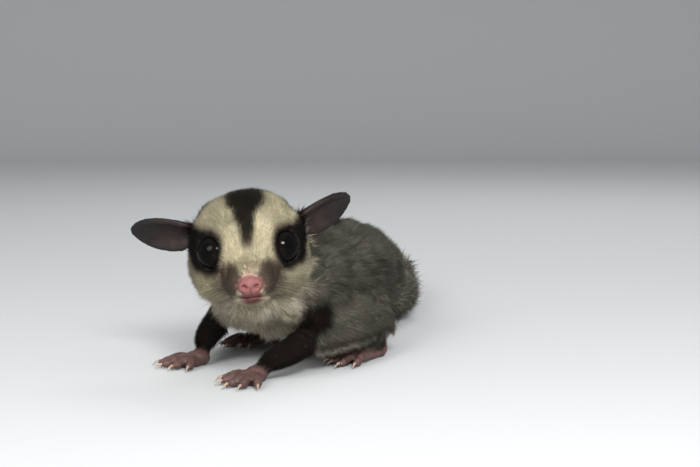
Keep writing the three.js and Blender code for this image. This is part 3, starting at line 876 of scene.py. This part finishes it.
def membrane_colours(points, side, colours):
    """Grey above, darker towards the free edge, which carries a thin pale fringe."""
    edge = membrane_edge(side)
    line = np.column_stack([np.interp(points[:, 1], edge[:, 1], edge[:, axis]) for axis in (0, 2)])
    away = np.linalg.norm(points[:, [0, 2]] - line, axis=1) + waves(points, 2.5, 52) * 0.3
    colour = mix(colours.dark * 7, colours.grey, rise(1.5, 4, away))
    return mix(colour, colours.fringe, rise(1.9, 0.9, away))


def colours_of(points, normals, labels, names, colours):
    """The marking's colour at each point."""
    colour = np.zeros_like(points)
    spots = in_head(points)
    grey, dark = colours.grey, colours.dark
    mottle = (1 + 0.25 * waves(points, 2.4, 51))[:, None]
    tail_start = centre_of(TAIL_NODES[0])
    for index, name in enumerate(names):
        at = labels == index
        kind = kind_of(name)
        if kind == "head":
            colour[at] = head_colours(spots[at], colours)
        elif kind == "nose":
            colour[at] = colours.pink
        elif kind == "ear":
            colour[at] = ear_colours(spots[at], colours)
        elif kind in ("midbody", "rump"):
            colour[at] = body_colours(points[at], normals[at], colours)
        elif kind == "breast":
            colour[at] = chest_colours(points[at], normals[at], colours)
        elif kind == "neck":
            above = body_colours(points[at], normals[at], colours)
            colour[at] = mix(above, colours.throat, rise(0.2, -0.2, normals[at][:, 2]))
        elif kind in ("upper", "forearm"):
            colour[at] = dark * 1.2 * mottle[at]
        elif kind == "thigh":
            colour[at] = grey * 0.75 * mottle[at]
        elif kind == "shin":
            colour[at] = mix(grey * 0.6, dark * 2, 0.4) * mottle[at]
        elif kind == "membrane":
            colour[at] = membrane_colours(points[at], name.split("_")[-1], colours)
        elif kind in ("hand", "foot"):
            colour[at] = colours.paw * (1 + 0.12 * waves(points[at], 1.5, 53))[:, None]
        else:
            reach = np.linalg.norm(points[at] - tail_start, axis=1)
            colour[at] = mix(grey, dark * 2.2, rise(*TAIL_FADE, reach)) * mottle[at]
    return colour


def markings_of(points, normals, labels, names, bare, web):
    """The colour at each point, with soft borders, and the dark of the arms spread up to the shoulders."""
    colours = chosen_colours()
    tints = colours_of(points, normals, labels, names, colours)
    arms = of_kind(labels, names, "upper", "forearm")
    arms = rise(0.12, 0.5, web.soften(arms.astype(float), ROUNDS["arms"])) * ~of_kind(labels, names, "head")
    arms *= 1 - rise(0.2, 0.6, bare)
    return web.soften(mix(tints, colours.dark * 1.5, arms), ROUNDS["marking"])


# Materials: colours, streaks and creases come from nodes, at their real size


def new_material(name):
    material = bpy.data.materials.new(name)
    material.use_nodes = True
    tree = material.node_tree
    return material, tree, tree.nodes["Principled BSDF"]


def set_inputs(node, values):
    for name, value in values.items():
        node.inputs[name].default_value = value


def stored(tree, name):
    """The outputs of a node for what keep() stored under a name."""
    node = tree.nodes.new("ShaderNodeAttribute")
    node.attribute_name = name
    return node.outputs


def noise(tree, scale, detail):
    """Noise over the object, with so many lumps to the metre."""
    node = tree.nodes.new("ShaderNodeTexNoise")
    set_inputs(node, {"Scale": scale, "Detail": detail, "Roughness": 0.6})
    coordinates = tree.nodes.new("ShaderNodeTexCoord")
    tree.links.new(coordinates.outputs["Object"], node.inputs["Vector"])
    return node.outputs["Fac"]


def spanned(tree, value, low, high):
    """A value from 0 to 1, spread between two others."""
    span = tree.nodes.new("ShaderNodeMapRange")
    set_inputs(span, {"To Min": low, "To Max": high})
    tree.links.new(value, span.inputs["Value"])
    return span.outputs["Result"]


def scaled(tree, colour, share):
    tint = tree.nodes.new("ShaderNodeVectorMath")
    tint.operation = "SCALE"
    tree.links.new(colour, tint.inputs[0])
    tree.links.new(share, tint.inputs["Scale"])
    return tint.outputs["Vector"]


def ramp(tree, value, stops):
    """Colours along a value from 0 to 1, from a place and a colour for each stop."""
    node = tree.nodes.new("ShaderNodeValToRGB")
    elements = node.color_ramp.elements
    for element, (place_of_stop, colour) in zip(elements, stops):
        element.position = place_of_stop
        element.color = (*colour, 1)
    for place_of_stop, colour in stops[2:]:
        elements.new(place_of_stop).color = (*colour, 1)
    tree.links.new(value, node.inputs["Fac"])
    return node.outputs["Color"]


def bump(tree, height, distance, strength=1.0, onto=None):
    node = tree.nodes.new("ShaderNodeBump")
    set_inputs(node, {"Distance": distance, "Strength": strength})
    tree.links.new(height, node.inputs["Height"])
    if onto is not None:
        tree.links.new(onto, node.inputs["Normal"])
    return node.outputs["Normal"]


def skin_material():
    """Short fur under the tufts, and creased bare skin on the nose, ears, hands and feet."""
    material, tree, shader = new_material("glider skin")
    # The marking is darkened by the painted shade kept for the skin under long coat
    marking = scaled(tree, stored(tree, "marking")["Color"], stored(tree, "coat_shade")["Fac"])
    colour = scaled(tree, marking, spanned(tree, noise(tree, 900, 5), 0.72, 1.28))
    tree.links.new(colour, shader.inputs["Base Color"])
    shine = spanned(tree, stored(tree, "bare")["Fac"], 0.85, 0.5)
    tree.links.new(shine, shader.inputs["Roughness"])
    cells = tree.nodes.new("ShaderNodeTexVoronoi")
    cells.feature = "DISTANCE_TO_EDGE"
    cells.inputs["Scale"].default_value = 2600
    coordinates = tree.nodes.new("ShaderNodeTexCoord")
    tree.links.new(coordinates.outputs["Object"], cells.inputs["Vector"])
    creases = bump(tree, cells.outputs["Distance"], 0.00012, 0.7)
    relief = bump(tree, noise(tree, 3800, 3), 0.0001, 0.6, creases)
    tree.links.new(relief, shader.inputs["Normal"])
    flesh = {
        "Specular IOR Level": 0.25,
        "Subsurface Weight": 0.12,
        "Subsurface Radius": (0.0012, 0.0005, 0.0003),
        "Subsurface Scale": 1.0,
    }
    set_inputs(shader, flesh)
    return material


def coat_material():
    """Soft matt hair, with fine darker and lighter strands."""
    material, tree, shader = new_material("glider coat")
    strands = spanned(tree, noise(tree, 1500, 3), 0.65, 1.35)
    colour = scaled(tree, stored(tree, "marking")["Color"], strands)
    tree.links.new(colour, shader.inputs["Base Color"])
    set_inputs(shader, {"Roughness": 0.6, "Specular IOR Level": 0.06})
    return material


def eye_material():
    """Wet and black, with a dark brown iris round a wide pupil."""
    material, tree, shader = new_material("glider eye")
    pupil, iris, rim = (0.001, 0.0008, 0.001), (0.003, 0.002, 0.0016), (0.0015, 0.001, 0.001)
    rings = ramp(tree, stored(tree, "off_gaze")["Fac"], [(0.42, pupil), (0.5, iris), (0.85, rim)])
    fibres = spanned(tree, noise(tree, 1400, 4), 0.7, 1.3)
    tree.links.new(scaled(tree, rings, fibres), shader.inputs["Base Color"])
    wet = {
        "Roughness": 0.3,
        "Specular IOR Level": 0.0,
        "Coat Weight": 0.3,
        "Coat IOR": 1.33,
        "Coat Roughness": 0.012,
    }
    set_inputs(shader, wet)
    return material


def claw_material(colour):
    """Translucent horn with fine streaks."""
    material, tree, shader = new_material("glider claw")
    streaks = noise(tree, 2200, 3)
    tint = tree.nodes.new("ShaderNodeRGB")
    tint.outputs[0].default_value = (*colour, 1)
    shade = scaled(tree, tint.outputs[0], spanned(tree, streaks, 0.6, 1.3))
    tree.links.new(shade, shader.inputs["Base Color"])
    tree.links.new(bump(tree, streaks, 0.00004), shader.inputs["Normal"])
    horn = {
        "Roughness": 0.32,
        "Subsurface Weight": 0.2,
        "Subsurface Radius": (0.0006, 0.0004, 0.0003),
    }
    set_inputs(shader, horn)
    return material


def whisker_material():
    """Dark at the root, and paler towards the tip."""
    material, tree, shader = new_material("glider whisker")
    root, tip = (0.012, 0.009, 0.008), (0.09, 0.075, 0.06)
    fading = ramp(tree, stored(tree, "along")["Fac"], [(0, root), (1, tip)])
    tree.links.new(fading, shader.inputs["Base Color"])
    shader.inputs["Roughness"].default_value = 0.4
    return material


# Swept threads: claws and whiskers, in millimetres

# Along a claw: how far past the end of the digit, how high, and its radius
CLAW = [
    (-1.1, 1.05, 0.5),
    (-0.4, 1.3, 0.52),
    (0.3, 1.46, 0.44),
    (0.9, 1.38, 0.34),
    (1.4, 1.12, 0.25),
    (1.85, 0.76, 0.15),
    (2.25, 0.36, 0.05),
]
WHISKER_ROWS = 3
WHISKERS_IN_ROW = 5
WHISKER_RADIUS = 0.065  # at the root


def thread(spine, radii, sides):
    """Points and triangles of a tapered thread along a spine, closed at both ends."""
    spine = np.array(spine, float)
    ways = unit(np.gradient(spine, axis=0))
    across = unit(np.cross(ways, [0.13, 0.21, 0.97]))
    over = np.cross(ways, across)
    angles = 2 * np.pi * np.arange(sides) / sides
    radii = np.array(radii)[:, None, None]
    rings = (
        spine[:, None]
        + across[:, None] * (np.cos(angles)[None, :, None] * radii)
        + over[:, None] * (np.sin(angles)[None, :, None] * radii)
    )
    count = len(spine)
    points = np.vstack([rings.reshape(-1, 3), spine[:1], spine[-1:]])
    triangles = []
    for i in range(count - 1):
        for j in range(sides):
            a, b = i * sides + j, i * sides + (j + 1) % sides
            triangles += [(a, b, b + sides), (a, b + sides, a + sides)]
    for j in range(sides):
        triangles.append((count * sides, (j + 1) % sides, j))
        triangles.append((count * sides + 1, (count - 1) * sides + j, (count - 1) * sides + (j + 1) % sides))
    along = np.append(np.repeat(np.linspace(0, 1, count), sides), [0, 1])
    return points, np.array(triangles), along


def mesh_of_threads(name, threads):
    """One mesh of many threads, which keeps how far along its thread each point lies."""
    spots, faces, along = zip(*threads)
    starts = np.cumsum([0, *(len(part) for part in spots[:-1])])
    mesh = mesh_from(name, np.vstack(spots), np.vstack([part + start for part, start in zip(faces, starts)]))
    keep(mesh, "along", "FLOAT", np.concatenate(along))
    return mesh


# The coat: thin, tapered, three-sided tufts in arrays

# Corners of a tuft, across, above and along it: a bent one for long coat, a straight one for short coat
BENT_TUFT = {
    "corners": [(-1, 0, 0), (1, 0, 0), (0, 1, 0), (-0.85, 0, 1), (0.85, 0, 1), (0, 0.8, 1), (0, 0, 2)],
    "faces": [
        (0, 2, 1),
        (0, 1, 4),
        (0, 4, 3),
        (1, 2, 5),
        (1, 5, 4),
        (2, 0, 3),
        (2, 3, 5),
        (3, 4, 6),
        (4, 5, 6),
        (5, 3, 6),
    ],
}
STRAIGHT_TUFT = {
    "corners": [(-1, 0, 0), (1, 0, 0), (0, 1, 0), (0, 0, 2)],
    "faces": [(0, 2, 1), (0, 1, 3), (1, 2, 3), (2, 0, 3)],
}
LONG_COATS = ("coat_tail_front", "coat_tail_back")
FACE_BACK = -4  # where the face's coat ends and the crown's starts, in the head's frame
CLUMP = 2.7  # across a clump of the coat
PATCH = 0.0013  # half the size of a tuft's patch on the unwrap
ROOT_DEPTH = 0.12  # of a tuft's foot under the skin
TUFT_GAP = 0.1  # from the floor to the lowest hair
DEPTH_SHADE_ALONG_TUFT = [0.68, 0.98, 1.2]  # of a tuft's colour at its foot, its bend and its tip: darker at the foot as painted shade deep in the coat, lighter at the tip
# Large primes that give each cell of the grid of clumps its own number
CLUMP_KEYS = [73856093, 19349663, 83492791]


def scatter(points, triangles, weight, count, rng):
    """Random places on triangles, by area and a weight for each point."""
    corners = points[triangles]
    area = np.linalg.norm(np.cross(corners[:, 1] - corners[:, 0], corners[:, 2] - corners[:, 0]), axis=1)
    chance = area * weight[triangles].mean(axis=1)
    chosen = rng.choice(len(triangles), count, p=chance / chance.sum())
    u, v = rng.random((2, count))
    flip = u + v > 1
    u[flip], v[flip] = 1 - u[flip], 1 - v[flip]
    share = np.column_stack([1 - u - v, u, v])
    return triangles[chosen], share


def clump_centres(roots, size):
    """For each root, the middle of the clump that it belongs to: the nearest point of a shaken grid."""
    cells = np.floor(roots / size).astype(np.int64)
    best = np.full(len(roots), np.inf)
    nearest = np.zeros_like(roots)
    for step in np.ndindex(3, 3, 3):
        cell = cells + np.array(step) - 1
        key = (cell * CLUMP_KEYS).sum(axis=1) + 11
        shake = [np.modf(np.abs(np.sin(key % 100003 * turn)) * 4375.5)[0] for turn in (1.1, 2.3, 3.7)]
        centre = (cell + np.stack(shake, 1)) * size
        distance = np.linalg.norm(centre - roots, axis=1)
        closer = distance < best
        best[closer] = distance[closer]
        nearest[closer] = centre[closer]
    return nearest, best / size


def between_corners(values, corners, share):
    """Values of the skin's points at places on its triangles."""
    if values.ndim == 1:
        return (values[corners] * share).sum(axis=1)
    return (values[corners] * share[..., None]).sum(axis=1)


def tuft_mesh(name, shape, grown, spot, rng, stray):
    """A mesh of tufts that stand on the skin, lie along the coat and bend back towards the skin."""
    corners = np.array(shape["corners"], float)
    faces = np.array(shape["faces"])
    root, normal, lie = grown["root"], grown["normal"], grown["lie"]
    count = len(root)
    lie = unit(lie - normal * (lie * normal).sum(axis=1, keepdims=True))
    side = np.cross(normal, lie)
    short = np.clip(grown["length"] / 5, 0.2, 1)
    drift = (waves(root, 3.5, 61) * 0.3 + waves(root, 1.5, 62) * 0.22) * short
    turn = rng.normal(0, stray, count) + drift
    lie = lie * np.cos(turn)[:, None] + side * np.sin(turn)[:, None]
    side = np.cross(normal, lie)
    lift = grown["lift"] * rng.uniform(0.7, 1.3, count) * (1 + 0.3 * waves(root, 2.6, 63))
    length = (grown["length"] * rng.uniform(0.75, 1.2, count))[:, None]
    half = (grown["width"] * rng.uniform(0.75, 1.25, count))[:, None] / 2

    def way(angle):
        return lie * np.cos(angle)[:, None] + normal * np.sin(angle)[:, None]

    foot = root - normal * ROOT_DEPTH
    middle = foot + way(lift * 1.25) * length * 0.5
    tip = middle + way(lift * 0.55) * length * 0.5
    clump, apart = clump_centres(root, CLUMP)
    pull = clump - root
    pull = (pull - normal * (pull * normal).sum(axis=1, keepdims=True)) * rise(2.5, 5, length)
    middle = middle + pull * 0.15
    tip = tip + pull * 0.6
    stages = np.stack([foot, middle, tip], axis=1)
    points = stages[:, corners[:, 2].astype(int)]
    across, above = corners[None, :, :1], corners[None, :, 1:2]
    points = points + (side * half)[:, None] * across + (normal * half)[:, None] * above
    points[..., 2] = np.maximum(points[..., 2], TUFT_GAP + rng.uniform(0, 0.4, points.shape[:2]))
    triangles = (faces[None] + len(corners) * np.arange(count)[:, None, None]).reshape(-1, 3)
    mesh = mesh_from(name, points.reshape(-1, 3), triangles)

    # Painted shade: each tuft is darkened towards its foot
    shade = np.interp(corners[:, 2], [0, 1, 2], DEPTH_SHADE_ALONG_TUFT)
    strand_tone_and_parting_shade = rng.normal(1, 0.1, count) * rng.choice([1, 0.5, 1.45], count, p=[0.8, 0.12, 0.08])
    long = rise(3.2, 5, length[:, 0])
    # Random tone of each strand and clump, and painted shade: in long coat, tufts towards a clump's edge are
    # darkened as in the partings
    strand_tone_and_parting_shade *= (1 - 0.35 * rise(0.35, 0.85, apart) * long) * (1 + 0.2 * waves(clump, 0.8, 65) * long)
    tints = grown["marking"][:, None] * shade[None, :, None] * strand_tone_and_parting_shade[:, None, None]
    keep(mesh, "marking", "FLOAT_COLOR", np.clip(tints.reshape(-1, 3), 0, 1))
    flat = np.column_stack([corners[:, 0], corners[:, 2] - 1]) * PATCH
    places = (spot[:, None] + flat[None]).reshape(-1, 2)
    layer = mesh.uv_layers.new(name="OFBake")
    layer.data.foreach_set("uv", places[triangles.ravel()].astype(np.float32).ravel())
    return mesh


def unwrap(root, labels, names):
    """A place in the unit square for each root: round and along each solid, with a tile for each solid."""
    present = sorted(set(labels.tolist()))
    columns = math.ceil(math.sqrt(len(present)))
    rows = math.ceil(len(present) / columns)
    spot = np.zeros((len(root), 2))
    for number, index in enumerate(present):
        at = labels == index
        name = names[index]
        kind = kind_of(name)
        away = root[at] - centre_of(name)
        if kind == "head":
            away = away @ HEAD_AXES.T
        if kind == "tail":
            order = TAIL_NODES.index(name)
            before = centre_of(TAIL_NODES[max(order - 1, 0)])
            after = centre_of(TAIL_NODES[min(order + 1, len(TAIL_NODES) - 1)])
            along_axis = unit(after - before)
        elif kind in ("upper", "forearm", "shin"):
            along_axis = np.array([0, 0, 1.0])
        else:
            along_axis = np.array([0, 1.0, 0])
        over = unit(np.cross(along_axis, [0.97, 0.1, 0.2]))
        across = np.cross(over, along_axis)
        angle = np.arctan2(away @ over, away @ across) / (2 * np.pi) + 0.5
        along = away @ along_axis
        along = (along - along.min()) / max(np.ptp(along), 1e-6)
        tile = np.column_stack([angle, along]) * 0.94 + 0.03
        spot[at] = (tile + [number % columns, number // columns]) / [columns, rows]
    return spot


def coat_pieces(kinds, spots, points):
    """Which of the skin's points carry each piece of the coat."""
    face = spots[:, 1] < FACE_BACK
    tail_front = points[:, 1] < centre_of(TAIL_NODES[2])[1]
    return {
        "coat_face": (kinds == "head") & face,
        "coat_crown": (kinds == "head") & ~face | (kinds == "ear"),
        "coat_breast": np.isin(kinds, ["breast", "neck"]),
        "coat_midbody": kinds == "midbody",
        "coat_rump": np.isin(kinds, ["rump", "thigh"]),
        "coat_limbs": np.isin(kinds, ["upper", "forearm", "shin", "membrane", "hand", "foot"]),
        "coat_tail_front": (kinds == "tail") & tail_front,
        "coat_tail_back": (kinds == "tail") & ~tail_front,
    }


# Operators


def skin_mesh():
    skin = bpy.data.objects.get("skin")
    if skin is None:
        raise RuntimeError("The skin has to be made first")
    return skin.data


class GLIDER_OT_skin(bpy.types.Operator):
    """Make one skin over all the flesh, inside the solids by the depth of the coat"""

    bl_idname = "glider.skin"
    bl_label = "Skin"

    def execute(self, context):
        sizes = context.scene.glider_skin
        names = FLESH_NODES
        mesh = refine(remeshed(joined_solids(sizes.swell), sizes.detail))
        mesh.name = "skin"
        points, edges, _ = read(mesh)
        web = Web(len(points), edges)
        labels = labels_of(points, names)
        head = of_kind(labels, names, "head")
        depth, length, lift, bare = coat_sizes(points, labels, names)
        points, depth = slim_tail(points, depth, of_kind(labels, names, "tail"))
        depth, length, lift = web.soften(np.column_stack([depth, length, lift]), ROUNDS["coat"]).T
        bare = eased_bareness(bare, labels, names, web)
        firm = np.where(bare > 0.3, 0.25, 1.0)
        firm[head] = 0.5
        firm = web.soften(firm, ROUNDS["firm"])[:, None]

        points = web.relax(trim_claws(points), ROUNDS["form"], firm)
        points = joined_forms(points, labels, names, edges, web)
        place(mesh, points)
        normals = normals_of(mesh)
        ripples = sizes.ripple / MM * rise(3, 4.5, length) * waves(points, 5, 71)
        points = points + normals * ripples[:, None]
        lie = lie_of_coat(points, labels, names)
        grown = (1 - rise(0, 0.5, bare)) * sizes.swell / MM * ~head
        points = points - normals * (depth + grown * 0.8)[:, None]
        points = web.relax(points, ROUNDS["under coat"], firm)
        points = settle_eyes(carve_face(points))
        points[:, 2] = np.maximum(points[:, 2], SKIN_GAP)
        place(mesh, points)
        normals = normals_of(mesh)
        folds = folds_of(points, bare)
        place(mesh, points - normals * (folds * sizes.crease_depth / MM)[:, None])

        keep(mesh, "lie", "FLOAT_VECTOR", unit(web.soften(lie, ROUNDS["lie"])))
        keep(mesh, "tuft_length", "FLOAT", length * context.scene.glider_coat.length)
        keep(mesh, "tuft_lift", "FLOAT", np.radians(lift))
        keep(mesh, "bare", "FLOAT", bare)
        keep(mesh, "solid", "INT", labels)
        # Painted shade: the colour is darkened in the creases of the bare skin and the rings round the
        # knuckles
        tints = markings_of(points, normals, labels, names, bare, web) * (1 - 0.4 * folds)[:, None]
        keep(mesh, "marking", "FLOAT_COLOR", np.clip(tints, 0, 1))
        # Painted shade: the skin is darkened where long coat lies over it and shades it
        keep(mesh, "coat_shade", "FLOAT", 1 - 0.45 * rise(1, 4, length) * (1 - bare))
        mesh.shade_smooth()
        piece("skin", mesh, skin_material(), names)
        return {"FINISHED"}


class GLIDER_OT_coat(bpy.types.Operator):
    """Grow the coat over the skin, as pieces of fine tufts"""

    bl_idname = "glider.coat"
    bl_label = "Coat"

    def execute(self, context):
        coat = context.scene.glider_coat
        mesh = skin_mesh()
        names = FLESH_NODES
        points, _, triangles = read(mesh)
        labels = kept(mesh, "solid")
        kinds = np.array([kind_of(name) for name in names])[labels]
        length = kept(mesh, "tuft_length")
        weight = self.growth(points, kept(mesh, "bare"), length)
        carried = {
            "root": points,
            "normal": normals_of(mesh),
            "lie": kept(mesh, "lie"),
            "length": length,
            "lift": kept(mesh, "tuft_lift"),
            "marking": kept(mesh, "marking"),
        }
        material = coat_material()
        for number, (name, member) in enumerate(coat_pieces(kinds, in_head(points), points).items()):
            rng = np.random.default_rng(100 + number)
            growing = triangles[member[triangles].sum(axis=1) >= 2]
            shape = BENT_TUFT if name in LONG_COATS else STRAIGHT_TUFT
            count = coat.triangles // len(shape["faces"])
            corners, share = scatter(points, growing, weight, count, rng)
            grown = {key: between_corners(values, corners, share) for key, values in carried.items()}
            grown["normal"] = unit(grown["normal"])
            grown["width"] = coat.width / MM * np.clip(grown["length"] / 6, 0.4, 1.2)
            spot = unwrap(grown["root"], labels[corners[:, 0]], names)
            tufts = tuft_mesh(name, shape, grown, spot, rng, coat.stray)
            piece(name, tufts, material)
        return {"FINISHED"}

    def growth(self, points, bare, length):
        """How densely tufts grow at each point: none on bare skin and lids, and more where they are short."""
        weight = np.clip(1 - bare * 1.15, 0, 1) / np.clip(length, 1.2, None) ** 0.7
        near = [np.linalg.norm(points - EYES[side], axis=1) for side in SIDES]
        weight *= rise(EYE_RADIUS + 0.25, EYE_RADIUS + 0.7, np.minimum(*near))
        return weight


class GLIDER_OT_eyes(bpy.types.Operator):
    """Make the two eyeballs, each with a bulging cornea"""

    bl_idname = "glider.eyes"
    bl_label = "Eyes"

    def execute(self, context):
        material = eye_material()
        for side, sign in SIDES.items():
            work = bmesh.new()
            bmesh.ops.create_uvsphere(work, u_segments=56, v_segments=36, radius=1)
            mesh = bpy.data.meshes.new(f"eyeball_{side}")
            work.to_mesh(mesh)
            work.free()
            ways = unit(read(mesh)[0] * MM)
            gaze = (GAZE_IN_HEAD * [sign, 1, 1]) @ HEAD_AXES
            angle = np.arccos(np.clip(ways @ gaze, -1, 1))
            radius = EYE_RADIUS + CORNEA * rise(0.95, 0.2, angle)
            place(mesh, EYES[side] + ways * radius[:, None])
            keep(mesh, "off_gaze", "FLOAT", angle / 1.4)
            mesh.shade_smooth()
            piece(f"eyeball_{side}", mesh, material, [f"eye_{side}"])
        return {"FINISHED"}


class GLIDER_OT_claws(bpy.types.Operator):
    """Set a small hooked claw on each finger, and on each toe but the great one"""

    bl_idname = "glider.claws"
    bl_label = "Claws"

    def execute(self, context):
        past_tip, height, radius = np.array(CLAW).T
        threads = []
        for name in PAWS:
            for digit in digits_of(name):
                if digit["claw"]:
                    flat = digit["root"] + np.outer(past_tip + digit["length"], digit["way"])
                    threads.append(thread(np.column_stack([flat, height]), radius, 8))
        claws = mesh_of_threads("claws", threads)
        piece("claws", claws, claw_material(chosen_colours().claw))
        return {"FINISHED"}


class GLIDER_OT_whiskers(bpy.types.Operator):
    """Set fine whiskers in rows on each side of the muzzle"""

    bl_idname = "glider.whiskers"
    bl_label = "Whiskers"

    def execute(self, context):
        rng = np.random.default_rng(7)
        points, _, triangles = read(skin_mesh())
        tree = BVHTree.FromPolygons(points.tolist(), triangles.tolist())
        steps = np.linspace(0, 1, 9)[:, None]
        threads = []
        for sign, row, place_in_row in product(SIDES.values(), range(WHISKER_ROWS), range(WHISKERS_IN_ROW)):
            start = np.array([sign * (3.2 + 0.9 * place_in_row), -21 + 1.6 * place_in_row, -5.2 - 1.1 * row])
            root = np.array(tree.find_nearest(from_head(start).tolist())[0])
            way = unit(np.array([sign * 0.95, 0.12 + 0.22 * place_in_row, -0.05 - 0.16 * row]))
            reach = (7 + 2.4 * place_in_row) * rng.uniform(0.85, 1.1)
            bend = np.array([0, 0.35, -0.25]) * reach
            spine = root + (way @ HEAD_AXES) * reach * steps + (bend @ HEAD_AXES) * steps**2
            threads.append(thread(spine, WHISKER_RADIUS * (1 - 0.85 * steps[:, 0]), 4))
        whiskers = mesh_of_threads("whiskers", threads)
        piece("whiskers", whiskers, whisker_material())
        return {"FINISHED"}


PHOTO_SIZE = (700, 467)  # pixels
EYES_IN_PHOTO = (248, 249)  # pixel half way between the eyes

# Aside, towards the camera and up, then size, power and colour
LIGHTS = {
    "key": (-0.45, 0.65, 0.5, 0.45, 4.6, (1.0, 0.98, 0.95)),
    "front": (0.15, 0.85, 0.14, 0.6, 2.9, (1.0, 0.98, 0.96)),
    "fill": (0.75, 0.35, 0.45, 0.8, 1.0, (0.93, 0.96, 1.0)),
    "rim": (0.25, -0.45, 0.7, 0.4, 2.7, (1.0, 1.0, 1.0)),
    "catch": (0.05, 0.5, 0.3, 0.14, 2.8, (1.0, 1.0, 1.0)),
}
SEEN_IN_EYES = ("key", "catch")
LIT_HEIGHT = 0.02  # above the floor, of the point that all lights are turned to
SKY = (0.86, 0.88, 0.9, 1)
SKY_STRENGTH = 0.78
FLOOR = (0.42, 0.428, 0.432, 1)


class GLIDER_OT_stage(bpy.types.Operator):
    """Set up the pale floor, the soft lights and the camera"""

    bl_idname = "glider.stage"
    bl_label = "Stage"

    def execute(self, context):
        view = context.scene.glider_stage
        turn = view.azimuth
        right = Vector((math.cos(turn), math.sin(turn), 0))
        level = Vector((math.sin(turn), -math.cos(turn), 0))
        back = level * math.cos(view.elevation) + Vector((0, 0, math.sin(view.elevation)))
        self.set_camera(context.scene, view, right, back)
        self.make_floor(right, level)
        for name, (aside, before, up, size, power, tint) in LIGHTS.items():
            lamp = bpy.data.lights.new(name, "AREA")
            lamp.shape = "DISK"
            lamp.size = size
            lamp.energy = power * view.brightness
            lamp.color = tint
            shining = bpy.data.objects.new(name, lamp)
            context.scene.collection.objects.link(shining)
            shining.location = right * aside + level * before + Vector((0, 0, up))
            shining.visible_glossy = name in SEEN_IN_EYES
            self.turn_to(shining, Vector((0, 0, LIT_HEIGHT)))
        world = bpy.data.worlds.new("studio")
        context.scene.world = world
        world.use_nodes = True
        sky = {"Color": SKY, "Strength": SKY_STRENGTH * view.brightness}
        set_inputs(world.node_tree.nodes["Background"], sky)
        context.scene.view_settings.view_transform = "Standard"
        return {"FINISHED"}

    def turn_to(self, thing, aim):
        thing.rotation_mode = "QUATERNION"
        thing.rotation_quaternion = (aim - thing.location).to_track_quat("-Z", "Y")

    def set_camera(self, scene, view, right, back):
        """Looks from the photograph's place, with the eyes at their pixel."""
        camera = bpy.data.cameras.new("camera")
        camera.sensor_width = 36
        camera.lens = view.scale * view.distance / PHOTO_SIZE[0] * camera.sensor_width
        camera.clip_start = 0.01
        holder = bpy.data.objects.new("camera", camera)
        scene.collection.objects.link(holder)
        between = Vector(((EYES["left"] + EYES["right"]) / 2 * MM).tolist())
        holder.location = between + back * view.distance
        aside = (PHOTO_SIZE[0] / 2 - EYES_IN_PHOTO[0]) / view.scale
        above = (EYES_IN_PHOTO[1] - PHOTO_SIZE[1] / 2) / view.scale
        self.turn_to(holder, between + right * aside + right.cross(-back) * above)
        scene.camera = holder

    def make_floor(self, right, level):
        """A floor that curves up into a wall behind the animal."""
        ahead, behind, bend, tall, wide = 2.5, 1.3, 0.5, 2.4, 3.0
        outline = [(-ahead, 0.0), (behind, 0.0)]
        steps = np.linspace(0, math.pi / 2, 14)[1:]
        outline += [(behind + bend * math.sin(a), bend * (1 - math.cos(a))) for a in steps]
        outline.append((behind + bend, tall))
        points = []
        for sign in (-1, 1):
            for depth, height in outline:
                points.append(tuple(right * (sign * wide) - level * depth + Vector((0, 0, height))))
        count = len(outline)
        faces = [(i, i + 1, count + i + 1, count + i) for i in range(count - 1)]
        mesh = bpy.data.meshes.new("floor")
        mesh.from_pydata(points, [], faces)
        mesh.shade_smooth()
        material, _, shader = new_material("studio floor")
        set_inputs(shader, {"Base Color": FLOOR, "Roughness": 0.9})
        mesh.materials.append(material)
        floor = bpy.data.objects.new("floor", mesh)
        bpy.context.scene.collection.objects.link(floor)


class GLIDER_PT_parts(bpy.types.Panel):
    """The operators and settings, in the order in which the animal is made"""

    bl_idname = "GLIDER_PT_parts"
    bl_label = "Sugar Glider"
    bl_space_type = "VIEW_3D"
    bl_region_type = "UI"
    bl_category = "Glider"

    def draw(self, context):
        for name in SETTINGS:
            box = self.layout.box()
            group = getattr(context.scene, name)
            for key in type(group).__annotations__:
                box.prop(group, key)
        for operator in OPERATORS:
            self.layout.operator(operator.bl_idname)


SETTINGS = {
    "glider_skin": GliderSkinSettings,
    "glider_coat": GliderCoatSettings,
    "glider_colours": GliderColours,
    "glider_stage": GliderStageSettings,
}
OPERATORS = (
    GLIDER_OT_skin,
    GLIDER_OT_coat,
    GLIDER_OT_eyes,
    GLIDER_OT_claws,
    GLIDER_OT_whiskers,
    GLIDER_OT_stage,
)


def register():
    for group in SETTINGS.values():
        bpy.utils.register_class(group)
    for name, group in SETTINGS.items():
        setattr(bpy.types.Scene, name, PointerProperty(type=group))
    for operator in OPERATORS:
        bpy.utils.register_class(operator)
    bpy.utils.register_class(GLIDER_PT_parts)


def unregister():
    bpy.utils.unregister_class(GLIDER_PT_parts)
    for operator in reversed(OPERATORS):
        bpy.utils.unregister_class(operator)
    for name, group in SETTINGS.items():
        delattr(bpy.types.Scene, name)
        bpy.utils.unregister_class(group)


def main():
    register()
    bpy.ops.glider.skin()
    bpy.ops.glider.coat()
    bpy.ops.glider.eyes()
    bpy.ops.glider.claws()
    bpy.ops.glider.whiskers()
    bpy.ops.glider.stage()
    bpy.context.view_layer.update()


if __name__ == "__main__":
    main()
